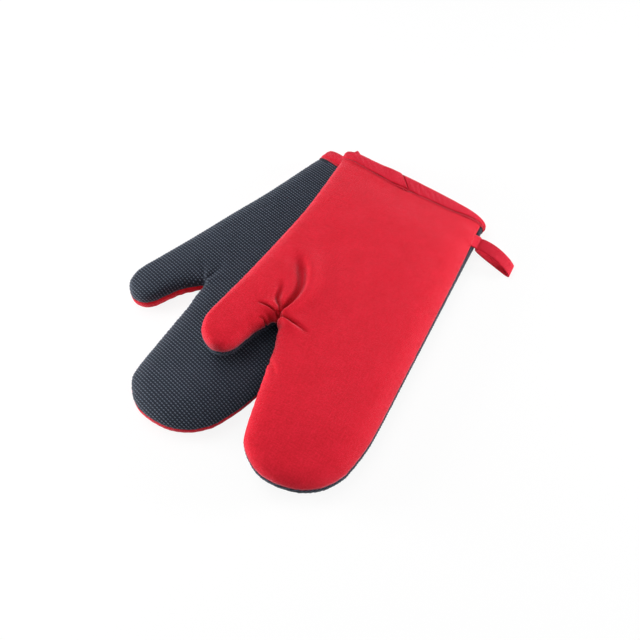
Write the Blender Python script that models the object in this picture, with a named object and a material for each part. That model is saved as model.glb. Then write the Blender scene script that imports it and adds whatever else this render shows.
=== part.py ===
"""A pair of padded oven gloves, the left one lying across the right one.

Each glove is a back half and a palm half, sewn together round the hand and left open at the cuff. Each half is
three layers: a panel outside, wadding, and a lining round the hand. A folded binding closes the layers' raw
edges at the cuff, and a tape loop to hang the glove by comes out of the side seam.

A glove's own frame has the cuff edge at y = 0, the fingertips at +Y, the thumb at +X and the seam plane at
z = 0. Sizes are in metres.
"""

import math
from typing import NamedTuple

import bmesh
import bpy
import numpy as np
from mathutils.geometry import delaunay_2d_cdt

# The cut of a glove, along its seam
GLOVE_LENGTH = 0.3165
CUFF_WIDTH = 0.1435
THUMB_REACH = 0.0915
CROTCH_ACROSS = 0.0427
CROTCH_HEIGHT = 0.2004
CROTCH_RADIUS = 0.0033
THUMB_LENGTH = 0.0443

# Layers of the two halves, from the outside in
FIT_GAP = 0.0003
BACK_PANEL_THICKNESS = 0.0009
BACK_WADDING_THICKNESS = 0.0034
PALM_PANEL_THICKNESS = 0.0020
PALM_WADDING_THICKNESS = 0.0022
LINING_THICKNESS = 0.0006

# How the halves puff up: their height over the seam, the width of the rolled edge round the hand and, as a
# share of the thumb's width, round the thumb, and the further rise of the upper half in the middle of the hand. The lower half is flat where it lies on something.
BACK_CROWN = 0.0125
PALM_CROWN = 0.0095
HAND_ROLL = 0.026
THUMB_ROLL_SHARE = 0.2254
UPPER_ROLL_POWER = 2.5
LOWER_ROLL_POWER = 3.2
SWELL = 0.002
SWELL_REACH = 0.030
BACK_CUFF_SINK = 0.0024
PALM_CUFF_SINK = 0.0008
CUFF_SINK_REACH = 0.050

# The cuff binding, a tape folded over the layers, which presses the wadding thinner
BINDING_THICKNESS = 0.0009
BINDING_DEPTH = 0.0135
BINDING_INNER_DEPTH = 0.0120
BINDING_NOSE_SHARES = (0.3, 0.7)
WADDING_PRESSED_SHARE = 0.4
PINCH_MARGIN = 0.0015
PINCH_FADE = 0.008

# The thread of the seam
THREAD_RADIUS = 0.0002
THREAD_INSET = 0.0011

# The hanging loop, whose two ends are sewn into the seam
TAPE_WIDTH = 0.014
TAPE_THICKNESS = 0.0011
LOOP_HEIGHT = 0.0235
LOOP_REACH = 0.042
LEFT_LOOP_OPENING = 0.0095
RIGHT_LOOP_OPENING = 0.0040
LOOP_LEAN_POWER = 1.5
LOOP_ROOT_STAND_OFF = 0.0006
ANCHOR_DEPTH = 0.009
SEAM_MOUTH_FADE = 0.0021

# How the pair lies. The left glove rests on the right one, which gives way under it, and slopes down to the
# table at its little finger's side.
RIGHT_PLACE = (0.0567, 0.1462)
RIGHT_HEADING = math.radians(137.9)
RIGHT_CUFF_SWAY = 0.0078
RIGHT_SWAY_REACH = 0.130
SWAY_POWER = 1.5
LEFT_PLACE = (0.0893, 0.1325)
LEFT_HEADING = math.radians(153.1)
LEFT_TILT = math.radians(9.3)
LEFT_SIDE_LIFT = 0.0351
LEFT_FOLD = 0.036
LEFT_FOLD_FALL = 0.0046
FINGERTIP_DROOP = 0.0045
DROOP_START = 0.255
YIELD_SHARE = 0.06
RIGHT_LOOP_DROP = 0.0027
RIGHT_LOOP_LEAN = math.radians(60)
LEFT_LOOP_DROP = 0.0034
LEFT_LOOP_LEAN = math.radians(16)

# How finely the shapes are divided
ROLL_ANGLES = np.radians((0, 30, 60, 90))
CROTCH_STEPS = 6
CUFF_STEPS = 6
PINKY_STEPS = 3
GRID_PITCH = 0.024
GRID_CLEAR_SHARE = 0.33
NET_WELD_SHARE = 0.1
LOOP_STEPS = 24
ANCHOR_STEPS = 4

# The thumb's outer side: shares of the way from the cuff's half width out to the thumb's reach, shares of the
# thumb's height, how far the rolled edge is the thumb's narrow one, and the steps up to the point
THUMB_SIDE_SHARES = (
    (0.070, 0.312, 0.00, 2),
    (0.315, 0.498, 0.10, 1),
    (0.592, 0.672, 0.45, 1),
    (0.840, 0.808, 0.85, 1),
)
# Its tip: shares of the thumb's width out from the crotch, and down from the tip
THUMB_TIP_SHARES = (
    (1.000, 0.521, 1.00, 1),
    (0.981, 0.311, 1.00, 1),
    (0.890, 0.130, 1.00, 1),
    (0.662, 0.000, 1.00, 2),
    (0.453, 0.050, 1.00, 2),
    (0.322, 0.201, 1.00, 1),
)
# Its inner side: shares of the thumb's width, and of the way from the crotch up to the round of the tip
THUMB_INSIDE_SHARES = (
    (0.253, 0.688, 1.00, 1),
    (0.164, 0.305, 1.00, 1),
)
# The fingers' side by the thumb: shares of the fingers' width, and of the way from the crotch to the round of
# the fingertips
FINGER_SIDE_SHARES = (
    (0.0935, 0.159, 0.50, 1),
    (0.137, 0.412, 0.20, 1),
    (0.1835, 0.722, 0.00, 1),
)
# The round of the fingertips: shares of the fingers' width across, and down from the tips
FINGERTIP_SHARES = (
    (0.228, 0.216, 0.00, 1),
    (0.275, 0.115, 0.00, 1),
    (0.406, 0.019, 0.00, 2),
    (0.537, -0.003, 0.00, 1),
    (0.683, 0.023, 0.00, 2),
    (0.777, 0.068, 0.00, 1),
    (0.858, 0.137, 0.00, 1),
    (0.9125, 0.216, 0.00, 1),
    (0.953, 0.308, 0.00, 1),
    (0.991, 0.515, 0.00, 1),
)
# Where the little finger's edge bends away from the straight side, down from the tips
PINKY_BEND_SHARE = 0.721
# Where the round of the crotch meets the thumb's and the fingers' edges, seen from its centre
CROTCH_START = math.radians(-18)
CROTCH_END = math.radians(-142)
CROTCH_ROLL_SHARE = 0.75

COTTON_RED = (0.62, 0.018, 0.035)
TAPE_RED = (0.60, 0.020, 0.040)
PALM_CHARCOAL = (0.030, 0.034, 0.045)
WADDING_WHITE = (0.78, 0.76, 0.71)
LINING_GREY = (0.34, 0.34, 0.35)
THREAD_RED = (0.50, 0.015, 0.030)

HALF_WIDTH = CUFF_WIDTH / 2
THUMB_WIDTH = THUMB_REACH - CROTCH_ACROSS
THUMB_ROLL = THUMB_WIDTH * THUMB_ROLL_SHARE
THUMB_HEIGHT = CROTCH_HEIGHT + THUMB_LENGTH
THUMB_TIP_ROUND = THUMB_WIDTH * THUMB_TIP_SHARES[-1][1]
FINGERS_WIDTH = CROTCH_ACROSS + HALF_WIDTH
FINGERTIP_ROUND = FINGERS_WIDTH * FINGERTIP_SHARES[0][1]
PINKY_BEND_HEIGHT = GLOVE_LENGTH - FINGERS_WIDTH * PINKY_BEND_SHARE
PINCH = BINDING_THICKNESS + FIT_GAP
PINCH_START = BINDING_DEPTH + PINCH_MARGIN
PINCH_END = PINCH_START + PINCH_FADE
RIM = THREAD_RADIUS + FIT_GAP
MOUTH_RIM = TAPE_THICKNESS + FIT_GAP

PALM_LAYERS = (
    ("panel", PALM_PANEL_THICKNESS),
    ("wadding", PALM_WADDING_THICKNESS),
    ("lining", LINING_THICKNESS),
)
BACK_LAYERS = (
    ("panel", BACK_PANEL_THICKNESS),
    ("wadding", BACK_WADDING_THICKNESS),
    ("lining", LINING_THICKNESS),
)
PALM = ("palm", PALM_LAYERS, PALM_CROWN, PALM_CUFF_SINK)
BACK = ("back", BACK_LAYERS, BACK_CROWN, BACK_CUFF_SINK)


def smooth_step(share):
    """Rises from 0 to 1 as share does, level at both ends."""
    share = np.clip(share, 0, 1)
    return share * share * (3 - 2 * share)


def spline_through(rows, steps):
    """Points on a Catmull-Rom curve through the rows, with so many steps up to each row after the first."""
    rows = np.array(rows, float)
    rows = np.vstack([2 * rows[0] - rows[1], rows, 2 * rows[-1] - rows[-2]])
    found = []
    for i, count in enumerate(steps, start=1):
        before, start, end, after = rows[i - 1 : i + 3]
        for t in np.arange(count) / count:
            found.append(
                0.5
                * (
                    2 * start
                    + (end - before) * t
                    + (2 * before - 5 * start + 4 * end - after) * t**2
                    + (3 * start - before - 3 * end + after) * t**3
                )
            )
    return np.array([*found, rows[-2]])


def roll_width(thumb_share):
    """The width of the rolled edge, from the hand's to the thumb's."""
    return HAND_ROLL + (THUMB_ROLL - HAND_ROLL) * thumb_share


def loop_edges():
    """Heights where the seam opens for the tape, and where it is closed again, from the fingers down."""
    half_tape = TAPE_WIDTH / 2 + FIT_GAP
    top, bottom = LOOP_HEIGHT + half_tape, LOOP_HEIGHT - half_tape
    return top + SEAM_MOUTH_FADE, top, bottom, bottom - SEAM_MOUTH_FADE


def seam_stations():
    """The seam from the cuff's thumb side round to its other side: rows of x, y and the roll's width."""
    cuff_rows = [(HALF_WIDTH, y, HAND_ROLL) for y in (0, PINCH_START, PINCH_END)]
    thumb_rows = [
        (HALF_WIDTH + (THUMB_REACH - HALF_WIDTH) * across, THUMB_HEIGHT * along, roll_width(narrow))
        for across, along, narrow, _ in THUMB_SIDE_SHARES
    ] + [
        (CROTCH_ACROSS + THUMB_WIDTH * across, THUMB_HEIGHT - THUMB_WIDTH * down, roll_width(narrow))
        for across, down, narrow, _ in THUMB_TIP_SHARES
    ] + [
        (
            CROTCH_ACROSS + THUMB_WIDTH * across,
            CROTCH_HEIGHT + (THUMB_LENGTH - THUMB_TIP_ROUND) * along,
            roll_width(narrow),
        )
        for across, along, narrow, _ in THUMB_INSIDE_SHARES
    ]
    centre = np.array([CROTCH_ACROSS, CROTCH_HEIGHT + CROTCH_RADIUS])
    angles = np.linspace(CROTCH_START, CROTCH_END, CROTCH_STEPS + 1)
    crotch_rows = [
        (*(centre + CROTCH_RADIUS * np.array([math.cos(a), math.sin(a)])), roll_width(CROTCH_ROLL_SHARE))
        for a in angles
    ]
    straight = GLOVE_LENGTH - FINGERTIP_ROUND - CROTCH_HEIGHT
    finger_rows = [
        (CROTCH_ACROSS - FINGERS_WIDTH * across, CROTCH_HEIGHT + straight * along, roll_width(narrow))
        for across, along, narrow, _ in FINGER_SIDE_SHARES
    ] + [
        (CROTCH_ACROSS - FINGERS_WIDTH * across, GLOVE_LENGTH - FINGERS_WIDTH * down, roll_width(narrow))
        for across, down, narrow, _ in FINGERTIP_SHARES
    ]
    heights = [*np.linspace(PINKY_BEND_HEIGHT, loop_edges()[0], PINKY_STEPS + 1), *loop_edges()[1:]]
    heights = sorted({*heights, LOOP_HEIGHT, PINCH_START, PINCH_END, 0.0}, reverse=True)
    pinky_rows = [(-HALF_WIDTH, y, HAND_ROLL) for y in heights]
    thumb_side = spline_through(
        [cuff_rows[-1], *thumb_rows, crotch_rows[0]],
        [*(row[3] for row in THUMB_SIDE_SHARES + THUMB_TIP_SHARES + THUMB_INSIDE_SHARES), 1],
    )
    finger_side = spline_through(
        [crotch_rows[-1], *finger_rows, pinky_rows[0]],
        [*(row[3] for row in FINGER_SIDE_SHARES + FINGERTIP_SHARES), 1],
    )
    return np.vstack([cuff_rows[:-1], thumb_side[:-1], crotch_rows[:-1], finger_side, pinky_rows[1:]])


def inward_normals(points):
    """Unit normals of the open seam line, pointing into the glove, and square to the cuff at its ends."""
    along = np.gradient(points, axis=0)
    along[0] = along[-1] = (0, 1)
    along[-1] *= -1
    normals = np.stack([-along[:, 1], along[:, 0]], axis=1)
    return normals / np.linalg.norm(normals, axis=1)[:, None]


def distance_to_line(points, line):
    """Each point's distance to an open line of straight pieces."""
    start, along = line[:-1], np.diff(line, axis=0)
    offset = points[:, None, :] - start[None]
    share = np.clip((offset * along).sum(2) / (along**2).sum(1), 0, 1)
    return np.linalg.norm(offset - share[..., None] * along, axis=2).min(1)


def inside(points, outline):
    """Whether each point lies in the closed outline."""
    x, y = points[:, :1], points[:, 1:]
    ax, ay = outline[:, 0], outline[:, 1]
    bx, by = np.roll(ax, -1), np.roll(ay, -1)
    crosses = (ay > y) != (by > y)
    rise = np.where(by == ay, 1, by - ay)
    return (crosses & (x < ax + (y - ay) * (bx - ax) / rise)).sum(1) % 2 == 1


def bound(y):
    """1 where the binding holds the layers, fading to 0 beyond it, at a distance y from the cuff edge."""
    return 1 - smooth_step((y - PINCH_START) / PINCH_FADE)


def pressed(layer, thickness):
    """A layer's thickness inside the binding, which presses the wadding."""
    return thickness * (WADDING_PRESSED_SHARE if layer == "wadding" else 1)


class Depth(NamedTuple):
    """How deep a surface lies under its half's outer one: in the hand, and inside the binding."""

    hand: float
    cuff: float

    def at(self, y):
        return self.hand + (self.cuff - self.hand) * bound(y)

    def below(self, layer, thickness):
        """The depth of the layer's other side."""
        return Depth(self.hand + thickness, self.cuff + pressed(layer, thickness))


class Form(NamedTuple):
    """How one half puffs up from the seam: its height, its further rise in the hand and fall at the cuff."""

    crown: float
    swell: float
    cuff_sink: float
    roll_power: float

    def top(self, y):
        """The height of the outer surface, swell left out, at a distance y from the cuff edge."""
        sink = self.cuff_sink * (1 - smooth_step((y - PINCH_START) / CUFF_SINK_REACH))
        return self.crown - PINCH * bound(y) - sink


class Plan:
    """One half of a glove seen from above: the rings of its rolled edge, and a net of triangles inside them."""

    def __init__(self):
        stations = seam_stations()
        self.seam, self.roll = stations[:, :2], stations[:, 2]
        self.normals = inward_normals(self.seam)
        self.rim = self.seam_rims()
        self.count = len(self.seam)
        self.inner_ring = self.seam + self.normals * self.roll[:, None]
        self.cuff_row = self.row_across(0)
        self.net_points, self.net_faces = self.net()
        self.middle = self.net_points[self.count :]
        reach = distance_to_line(self.middle, self.inner_ring)
        self.dome = 1 - np.exp(-reach / SWELL_REACH)

    def seam_rims(self):
        """The half height of the gap at the seam, which opens for the tape of the loop."""
        closed_top, top, bottom, closed_bottom = loop_edges()
        y = self.seam[:, 1]
        fade = np.minimum((closed_top - y) / (closed_top - top), (y - closed_bottom) / (bottom - closed_bottom))
        opened = np.where(self.seam[:, 0] < 0, np.clip(fade, 0, 1), 0)
        return RIM + (MOUTH_RIM - RIM) * opened

    def row_across(self, y):
        """Points between the two inner rings, from the little finger's side to the thumb's."""
        ends = HALF_WIDTH - HAND_ROLL
        return np.array([(x, y) for x in np.linspace(-ends, ends, CUFF_STEPS + 1)[1:-1]])

    def net(self):
        """The points and triangles inside the rolled edge. The inner ring's points come first."""
        outline = np.vstack([self.inner_ring, self.cuff_row])
        rows = np.vstack([self.row_across(y) for y in (PINCH_START, PINCH_END)])
        step = GRID_PITCH * math.sqrt(3) / 2
        grid = [
            (x + GRID_PITCH / 2 * (row % 2), y)
            for row, y in enumerate(np.arange(PINCH_END + step, GLOVE_LENGTH, step))
            for x in np.arange(-HALF_WIDTH, THUMB_REACH, GRID_PITCH)
        ]
        grid = np.array(grid)
        clear = distance_to_line(grid, self.inner_ring) > GRID_PITCH * GRID_CLEAR_SHARE
        grid = grid[inside(grid, outline) & clear]
        points = np.vstack([outline, rows, grid])
        rim = [(i, (i + 1) % len(outline)) for i in range(len(outline))]
        made, _, faces, sources, _, _ = delaunay_2d_cdt([tuple(p) for p in points], rim, [], 1, FIT_GAP * NET_WELD_SHARE)
        home = [source[0] for source in sources]
        assert len(made) == len(points)
        return points, [tuple(home[v] for v in face) for face in faces]

    def faces(self):
        """Faces of one layer's surface: strips between the rings, then the net."""
        rings = len(ROLL_ANGLES)
        strips = [
            (k * self.count + i, k * self.count + i + 1, (k + 1) * self.count + i + 1, (k + 1) * self.count + i)
            for k in range(rings - 1)
            for i in range(self.count - 1)
        ]
        first = (rings - 1) * self.count
        return strips + [tuple(first + v for v in face) for face in self.net_faces]

    def edge_loop(self):
        """The open edge of one layer's surface: along the seam, then across the cuff."""
        rings = len(ROLL_ANGLES)
        down = [k * self.count + self.count - 1 for k in range(1, rings)]
        across = [rings * self.count + i for i in range(len(self.cuff_row))]
        up = [k * self.count for k in range(rings - 1, 0, -1)]
        return [*range(self.count), *down, *across, *up]

    def surface(self, depth, form):
        """A surface over the seam plane, which lies at a depth under the half's outer one."""
        power = 2 / form.roll_power
        edge_depth = depth.at(self.seam[:, 1])
        points = []
        for angle in ROLL_ANGLES:
            run = 1 - max(math.cos(angle), 0) ** power
            rise = math.sin(angle) ** power
            across = edge_depth + (self.roll - edge_depth) * run
            plan = self.seam + self.normals * across[:, None]
            height = self.rim + (form.top(plan[:, 1]) - edge_depth - self.rim) * rise
            points.append(np.column_stack([plan, height]))
        y = self.middle[:, 1]
        height = form.top(y) - depth.at(y) + form.swell * self.dome
        points.append(np.column_stack([self.middle, height]))
        return np.vstack(points)

    def cuff_curve(self, depth, form):
        """The surface's edge at the cuff, from the thumb's side over to the other."""
        points = self.surface(depth, form)
        return points[[0, *self.edge_loop()[: self.count - 2 : -1]]]


def material(name, colour, roughness):
    """A plain dull material of one colour."""
    made = bpy.data.materials.new(name)
    made.use_nodes = True
    shader = made.node_tree.nodes["Principled BSDF"]
    shader.inputs["Base Color"].default_value = (*colour, 1)
    shader.inputs["Roughness"].default_value = roughness
    shader.inputs["Metallic"].default_value = 0
    return made


def solid(name, points, faces, finish, parent):
    """A closed mesh as one object, facing out."""
    mesh = bpy.data.meshes.new(name)
    mesh.from_pydata([tuple(p) for p in points], [], faces)
    work = bmesh.new()
    work.from_mesh(mesh)
    bmesh.ops.recalc_face_normals(work, faces=work.faces)
    work.to_mesh(mesh)
    work.free()
    mesh.shade_smooth()
    mesh.materials.append(finish)
    made = bpy.data.objects.new(name, mesh)
    bpy.context.scene.collection.objects.link(made)
    made.parent = parent
    return made


def loft(sections, ring):
    """Points and faces of a skin through closed sections, joined into a ring or capped at both ends."""
    sections = np.array(sections, float)
    count, sides, _ = sections.shape
    faces = []
    for i in range(count if ring else count - 1):
        here, there = i * sides, (i + 1) % count * sides
        for j in range(sides):
            k = (j + 1) % sides
            faces.append((here + j, here + k, there + k, there + j))
    if not ring:
        faces.append(tuple(range(sides)))
        faces.append(tuple((count - 1) * sides + j for j in range(sides)))
    return sections.reshape(-1, 3), faces


def between(outer, inner, plan):
    """Points and faces of the layer between two surfaces."""
    count = len(outer)
    faces = plan.faces()
    loop = plan.edge_loop()
    back = [tuple(count + v for v in face) for face in faces]
    walls = [
        (a, b, count + b, count + a) for a, b in zip(loop, [*loop[1:], loop[0]])
    ]
    return np.vstack([outer, inner]), faces + back + walls


class Glove:
    """One glove: what faces up, what faces down, and how it lies."""

    def __init__(self, side, upper, lower, place, heading, pair):
        self.side, self.upper, self.lower = side, upper, lower
        self.place, self.heading = np.array(place), heading
        self.seam_height = lower[2]
        self.load, self.sway = None, 0
        self.empty = bpy.data.objects.new(side + "_glove", None)
        bpy.context.scene.collection.objects.link(self.empty)
        self.empty.parent = pair
        self.empty.location = (*place, self.seam_height)
        self.empty.rotation_euler = (0, 0, heading)

    def turn(self):
        c, s = math.cos(self.heading), math.sin(self.heading)
        return np.array([[c, s], [-s, c]])

    def on_table(self, points):
        """Points of the glove's own frame, seen from above, as points of the table."""
        return points @ self.turn() + self.place

    def off_table(self, points):
        """Points of the table as points of the glove's own frame, seen from above."""
        return (points - self.place) @ self.turn().T

    def seam_lift(self, points):
        """How far the seam is over its height on the table, at points of the glove's own frame."""
        return np.zeros(len(points))

    def give(self, points):
        """The share of its free height that the glove keeps under what lies on it."""
        if not self.load:
            return np.ones(len(points))
        free = self.lower[2] + self.upper[2] + SWELL
        above = self.load.off_table(self.on_table(points))
        room = (self.load.seam_lift(above) - FIT_GAP) / free
        return (1 + room - np.sqrt((1 - room) ** 2 + YIELD_SHARE**2)) / 2

    def laid(self, points):
        """Points moved to where the glove lies, and pressed down by what lies on it."""
        lying = np.array(points, float)
        lying[:, 0] -= self.sway * np.clip(1 - lying[:, 1] / RIGHT_SWAY_REACH, 0, None) ** SWAY_POWER
        height = lying[:, 2] + self.seam_height + self.seam_lift(lying[:, :2])
        lying[:, 2] = height * self.give(lying[:, :2]) - self.seam_height
        return lying

    def halves(self):
        """Both halves: name, layers, the side of the seam plane and the form."""
        name, layers, crown, cuff_sink = self.upper
        yield name, layers, 1, Form(crown, SWELL, cuff_sink, UPPER_ROLL_POWER)
        name, layers, crown, _ = self.lower
        yield name, layers, -1, Form(crown, 0, 0, LOWER_ROLL_POWER)

    def thickness_at_cuff(self, layers):
        return sum(pressed(*layer) for layer in layers) + FIT_GAP * (len(layers) - 1)

    def layers(self, plan, finishes):
        """The panel, wadding and lining of both halves."""
        for half, layers, way, form in self.halves():
            outer = Depth(0, 0)
            for layer, thickness in layers:
                inner = outer.below(layer, thickness)
                skins = []
                for depth in (outer, inner):
                    skin = plan.surface(depth, form)
                    skin[:, 2] *= way
                    skins.append(self.laid(skin))
                points, faces = between(*skins, plan)
                name = f"{self.side}_{half}_{layer}"
                finish = finishes[f"{half}_{layer}"] if layer == "panel" else finishes[layer]
                solid(name, points, faces, finish, self.empty)
                outer = inner.below("gap", FIT_GAP)

    def binding(self, plan, finishes):
        """The tape folded over the raw edges, as a channel that runs round the cuff."""
        outside, facing, lining, inside_face = [], [], [], []
        for _, layers, way, form in self.halves():
            wall = self.thickness_at_cuff(layers)
            depths = (-FIT_GAP - BINDING_THICKNESS, -FIT_GAP, wall + FIT_GAP, wall + FIT_GAP + BINDING_THICKNESS)
            for kept, depth in zip((outside, facing, lining, inside_face), depths):
                curve = plan.cuff_curve(Depth(depth, depth), form)
                curve[:, 2] *= way
                kept.extend(curve[::way])
        back = -FIT_GAP
        nose = back - BINDING_THICKNESS
        sections = []
        for out, face, line, inner in zip(outside, facing, lining, inside_face):
            edge, far_edge = (out + (inner - out) * share for share in BINDING_NOSE_SHARES)
            corners = (
                (out, BINDING_DEPTH),
                (out, back),
                (edge, nose),
                (far_edge, nose),
                (inner, back),
                (inner, BINDING_INNER_DEPTH),
                (line, BINDING_INNER_DEPTH),
                (line, back),
                (face, back),
                (face, BINDING_DEPTH),
            )
            sections.append([(point[0], y, point[2]) for point, y in corners])
        points, faces = loft(sections, ring=True)
        solid(self.side + "_cuff_binding", self.laid(points), faces, finishes["tape"], self.empty)

    def seam_thread(self, plan, finishes):
        """The thread between the halves, from the loop round the hand to the cuff's thumb side."""
        stop = int(np.argmin(np.abs(plan.seam[:, 1] - loop_edges()[0]) + (plan.seam[:, 0] > 0)))
        sections = []
        for place, normal in zip(plan.seam[: stop + 1], plan.normals):
            for_thread = place + normal * THREAD_INSET
            across = np.array([*normal, 0]) * THREAD_RADIUS
            up = np.array([0, 0, THREAD_RADIUS])
            middle = np.array([*for_thread, 0])
            sections.append([middle + across, middle + up, middle - across, middle - up])
        points, faces = loft(sections, ring=False)
        solid(self.side + "_seam_thread", self.laid(points), faces, finishes["thread"], self.empty)

    def loop_anchor(self, finishes):
        """The loop's two ends, laid on each other and sewn into the seam."""
        sections = [
            [
                (x, LOOP_HEIGHT + across * TAPE_WIDTH / 2, up * TAPE_THICKNESS)
                for across, up in ((-1, -1), (0, -1), (1, -1), (1, 1), (0, 1), (-1, 1))
            ]
            for x in np.linspace(-HALF_WIDTH, ANCHOR_DEPTH - HALF_WIDTH, ANCHOR_STEPS + 1)
        ]
        points, faces = loft(sections, ring=False)
        solid(self.side + "_loop_anchor", self.laid(points), faces, finishes["tape"], self.empty)

    def hanging_loop(self, finishes, opening, drop, lean):
        """The free tape, a ring that swings on the line where it leaves the seam, its origin on that line."""
        reach = LOOP_REACH * math.cos(lean)
        nose = opening**2 / reach / 2 + TAPE_THICKNESS / 2
        angles = np.linspace(0, 2 * math.pi, LOOP_STEPS, endpoint=False)
        run = (1 - np.cos(angles)) / 2
        out = reach * run
        up = opening / 2 * np.sin(angles) - drop * run**2
        path = np.stack([-out, up], axis=1)
        along = np.roll(path, -1, axis=0) - np.roll(path, 1, axis=0)
        normal = np.stack([-along[:, 1], along[:, 0]], axis=1)
        normal *= TAPE_THICKNESS / 2 / np.linalg.norm(normal, axis=1)[:, None]
        sections = []
        for middle, off, share in zip(path, normal, run):
            drift = LOOP_REACH * math.sin(lean) * share**LOOP_LEAN_POWER
            sections.append(
                [
                    (middle[0] + face * off[0] + nose - TAPE_THICKNESS / 2, drift + side, middle[1] + face * off[1])
                    for face, side in (
                        (-1, -TAPE_WIDTH / 2),
                        (-1, TAPE_WIDTH / 2),
                        (1, TAPE_WIDTH / 2),
                        (1, -TAPE_WIDTH / 2),
                    )
                ]
            )
        points, faces = loft(sections, ring=True)
        tape_edges = LOOP_HEIGHT - TAPE_WIDTH / 2, LOOP_HEIGHT, LOOP_HEIGHT + TAPE_WIDTH / 2
        first, middle, last = self.laid([(-HALF_WIDTH - LOOP_ROOT_STAND_OFF - nose, y, 0) for y in tape_edges])
        made = solid(self.side + "_hanging_loop", points, faces, finishes["tape"], self.empty)
        made.location = middle
        made.rotation_euler = (0, 0, math.atan2(first[0] - last[0], last[1] - first[1]))
        return made

    def build(self, plan, finishes, *loop_shape):
        self.layers(plan, finishes)
        self.binding(plan, finishes)
        self.seam_thread(plan, finishes)
        self.loop_anchor(finishes)
        self.hanging_loop(finishes, *loop_shape)


class LeaningGlove(Glove):
    """A glove that slopes from its thumb's side down to the table, and droops at the fingertips."""

    def seam_lift(self, points):
        x, y = points[:, 0], points[:, 1]
        slope = LEFT_SIDE_LIFT - self.seam_height + (x - HALF_WIDTH) * math.tan(LEFT_TILT)
        fold = LEFT_FOLD_FALL * np.clip((LEFT_FOLD - HALF_WIDTH - x) / LEFT_FOLD, 0, 1) ** 2
        droop = FINGERTIP_DROOP * smooth_step((y - DROOP_START) / (GLOVE_LENGTH - DROOP_START))
        return slope - fold - droop


def centre_on_origin(pair):
    """Moves the pair so that the middle of its outline stands over the origin."""
    bpy.context.view_layer.update()
    corners = [
        made.matrix_world @ vertex.co
        for made in bpy.data.objects
        if made.type == "MESH"
        for vertex in made.data.vertices
    ]
    for axis in (0, 1):
        spread = [corner[axis] for corner in corners]
        pair.location[axis] = -(min(spread) + max(spread)) / 2
    bpy.context.view_layer.update()


def main():
    for old in list(bpy.data.objects):
        bpy.data.objects.remove(old)
    finishes = {
        "back_panel": material("red_cotton", COTTON_RED, 0.85),
        "palm_panel": material("charcoal_neoprene", PALM_CHARCOAL, 0.7),
        "wadding": material("white_wadding", WADDING_WHITE, 1.0),
        "lining": material("grey_lining", LINING_GREY, 0.9),
        "tape": material("red_tape", TAPE_RED, 0.85),
        "thread": material("red_thread", THREAD_RED, 0.6),
    }
    pair = bpy.data.objects.new("pair_of_gloves", None)
    bpy.context.scene.collection.objects.link(pair)
    plan = Plan()
    left = LeaningGlove("left", BACK, PALM, LEFT_PLACE, LEFT_HEADING, pair)
    left.build(plan, finishes, LEFT_LOOP_OPENING, LEFT_LOOP_DROP, LEFT_LOOP_LEAN)
    right = Glove("right", PALM, BACK, RIGHT_PLACE, RIGHT_HEADING, pair)
    right.load, right.sway = left, RIGHT_CUFF_SWAY
    right.build(plan, finishes, RIGHT_LOOP_OPENING, RIGHT_LOOP_DROP, RIGHT_LOOP_LEAN)
    centre_on_origin(pair)
    for made in bpy.data.objects:
        if made.name.endswith("hanging_loop"):
            print(made.name, "turns about", [round(v, 4) for v in made.matrix_world.translation])
            print("along", [round(v, 4) for v in made.matrix_world.to_3x3().col[1]])
    print("the pair was moved by", [round(v, 5) for v in pair.location])


main()
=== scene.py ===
"""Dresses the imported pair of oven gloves: cloth, padding, palm pattern, bindings, loops and stitches.

A glove's own frame is the part's: the cuff edge at y = 0, the fingertips at +Y, the thumb at +X and the
seam plane at z = 0. Every surface is worked out there and then laid on the table as the solids are. Sizes
are in metres, and in millimetres where a comment says so.
"""

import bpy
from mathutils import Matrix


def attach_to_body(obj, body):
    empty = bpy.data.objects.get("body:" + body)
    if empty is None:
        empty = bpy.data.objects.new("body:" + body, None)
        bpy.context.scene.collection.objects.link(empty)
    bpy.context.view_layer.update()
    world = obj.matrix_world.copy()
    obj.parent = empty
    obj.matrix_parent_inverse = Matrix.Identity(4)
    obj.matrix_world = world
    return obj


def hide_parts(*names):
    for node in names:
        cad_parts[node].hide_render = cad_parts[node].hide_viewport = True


bl_info = {
    "name": "Padded oven gloves",
    "version": (1, 0, 0),
    "blender": (4, 5, 0),
    "location": "View3D > Sidebar > Gloves",
    "description": "Dresses the packed pair of oven gloves in cloth, padding and stitching",
    "category": "Object",
}

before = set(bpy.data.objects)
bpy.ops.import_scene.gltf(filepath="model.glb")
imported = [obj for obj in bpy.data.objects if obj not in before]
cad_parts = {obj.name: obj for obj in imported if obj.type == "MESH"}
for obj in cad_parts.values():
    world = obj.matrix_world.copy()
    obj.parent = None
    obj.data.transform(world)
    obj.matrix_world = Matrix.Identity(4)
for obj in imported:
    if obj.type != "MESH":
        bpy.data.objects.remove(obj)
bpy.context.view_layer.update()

import math

import bmesh
import bpy
import numpy as np
from mathutils import Vector, noise
from mathutils.geometry import delaunay_2d_cdt

MM = 0.001

# The cut of a glove, as in the solids
GLOVE_LENGTH = 0.3165
HALF_WIDTH = 0.07175
THUMB_REACH = 0.0915
CROTCH = np.array([0.0427, 0.2037])
CROTCH_RADIUS = 0.0033
CROTCH_HEIGHT = 0.2004
THUMB_WIDTH = 0.0488
THUMB_HEIGHT = 0.2447
FINGERS_WIDTH = CROTCH[0] + HALF_WIDTH
HAND_ROLL = 0.026
THUMB_ROLL = 0.011
THUMB_SIDE = ((0.070, 0.312, 0.0), (0.315, 0.498, 0.1), (0.592, 0.672, 0.45), (0.840, 0.808, 0.85))
THUMB_TIP = (
    (1.000, 0.521), (0.981, 0.311), (0.890, 0.130), (0.662, 0.000), (0.453, 0.050), (0.322, 0.201)
)
THUMB_INSIDE = ((0.253, 0.688), (0.164, 0.305))
FINGER_SIDE = ((0.0935, 0.159, 0.5), (0.137, 0.412, 0.2), (0.1835, 0.722, 0.0))
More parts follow.
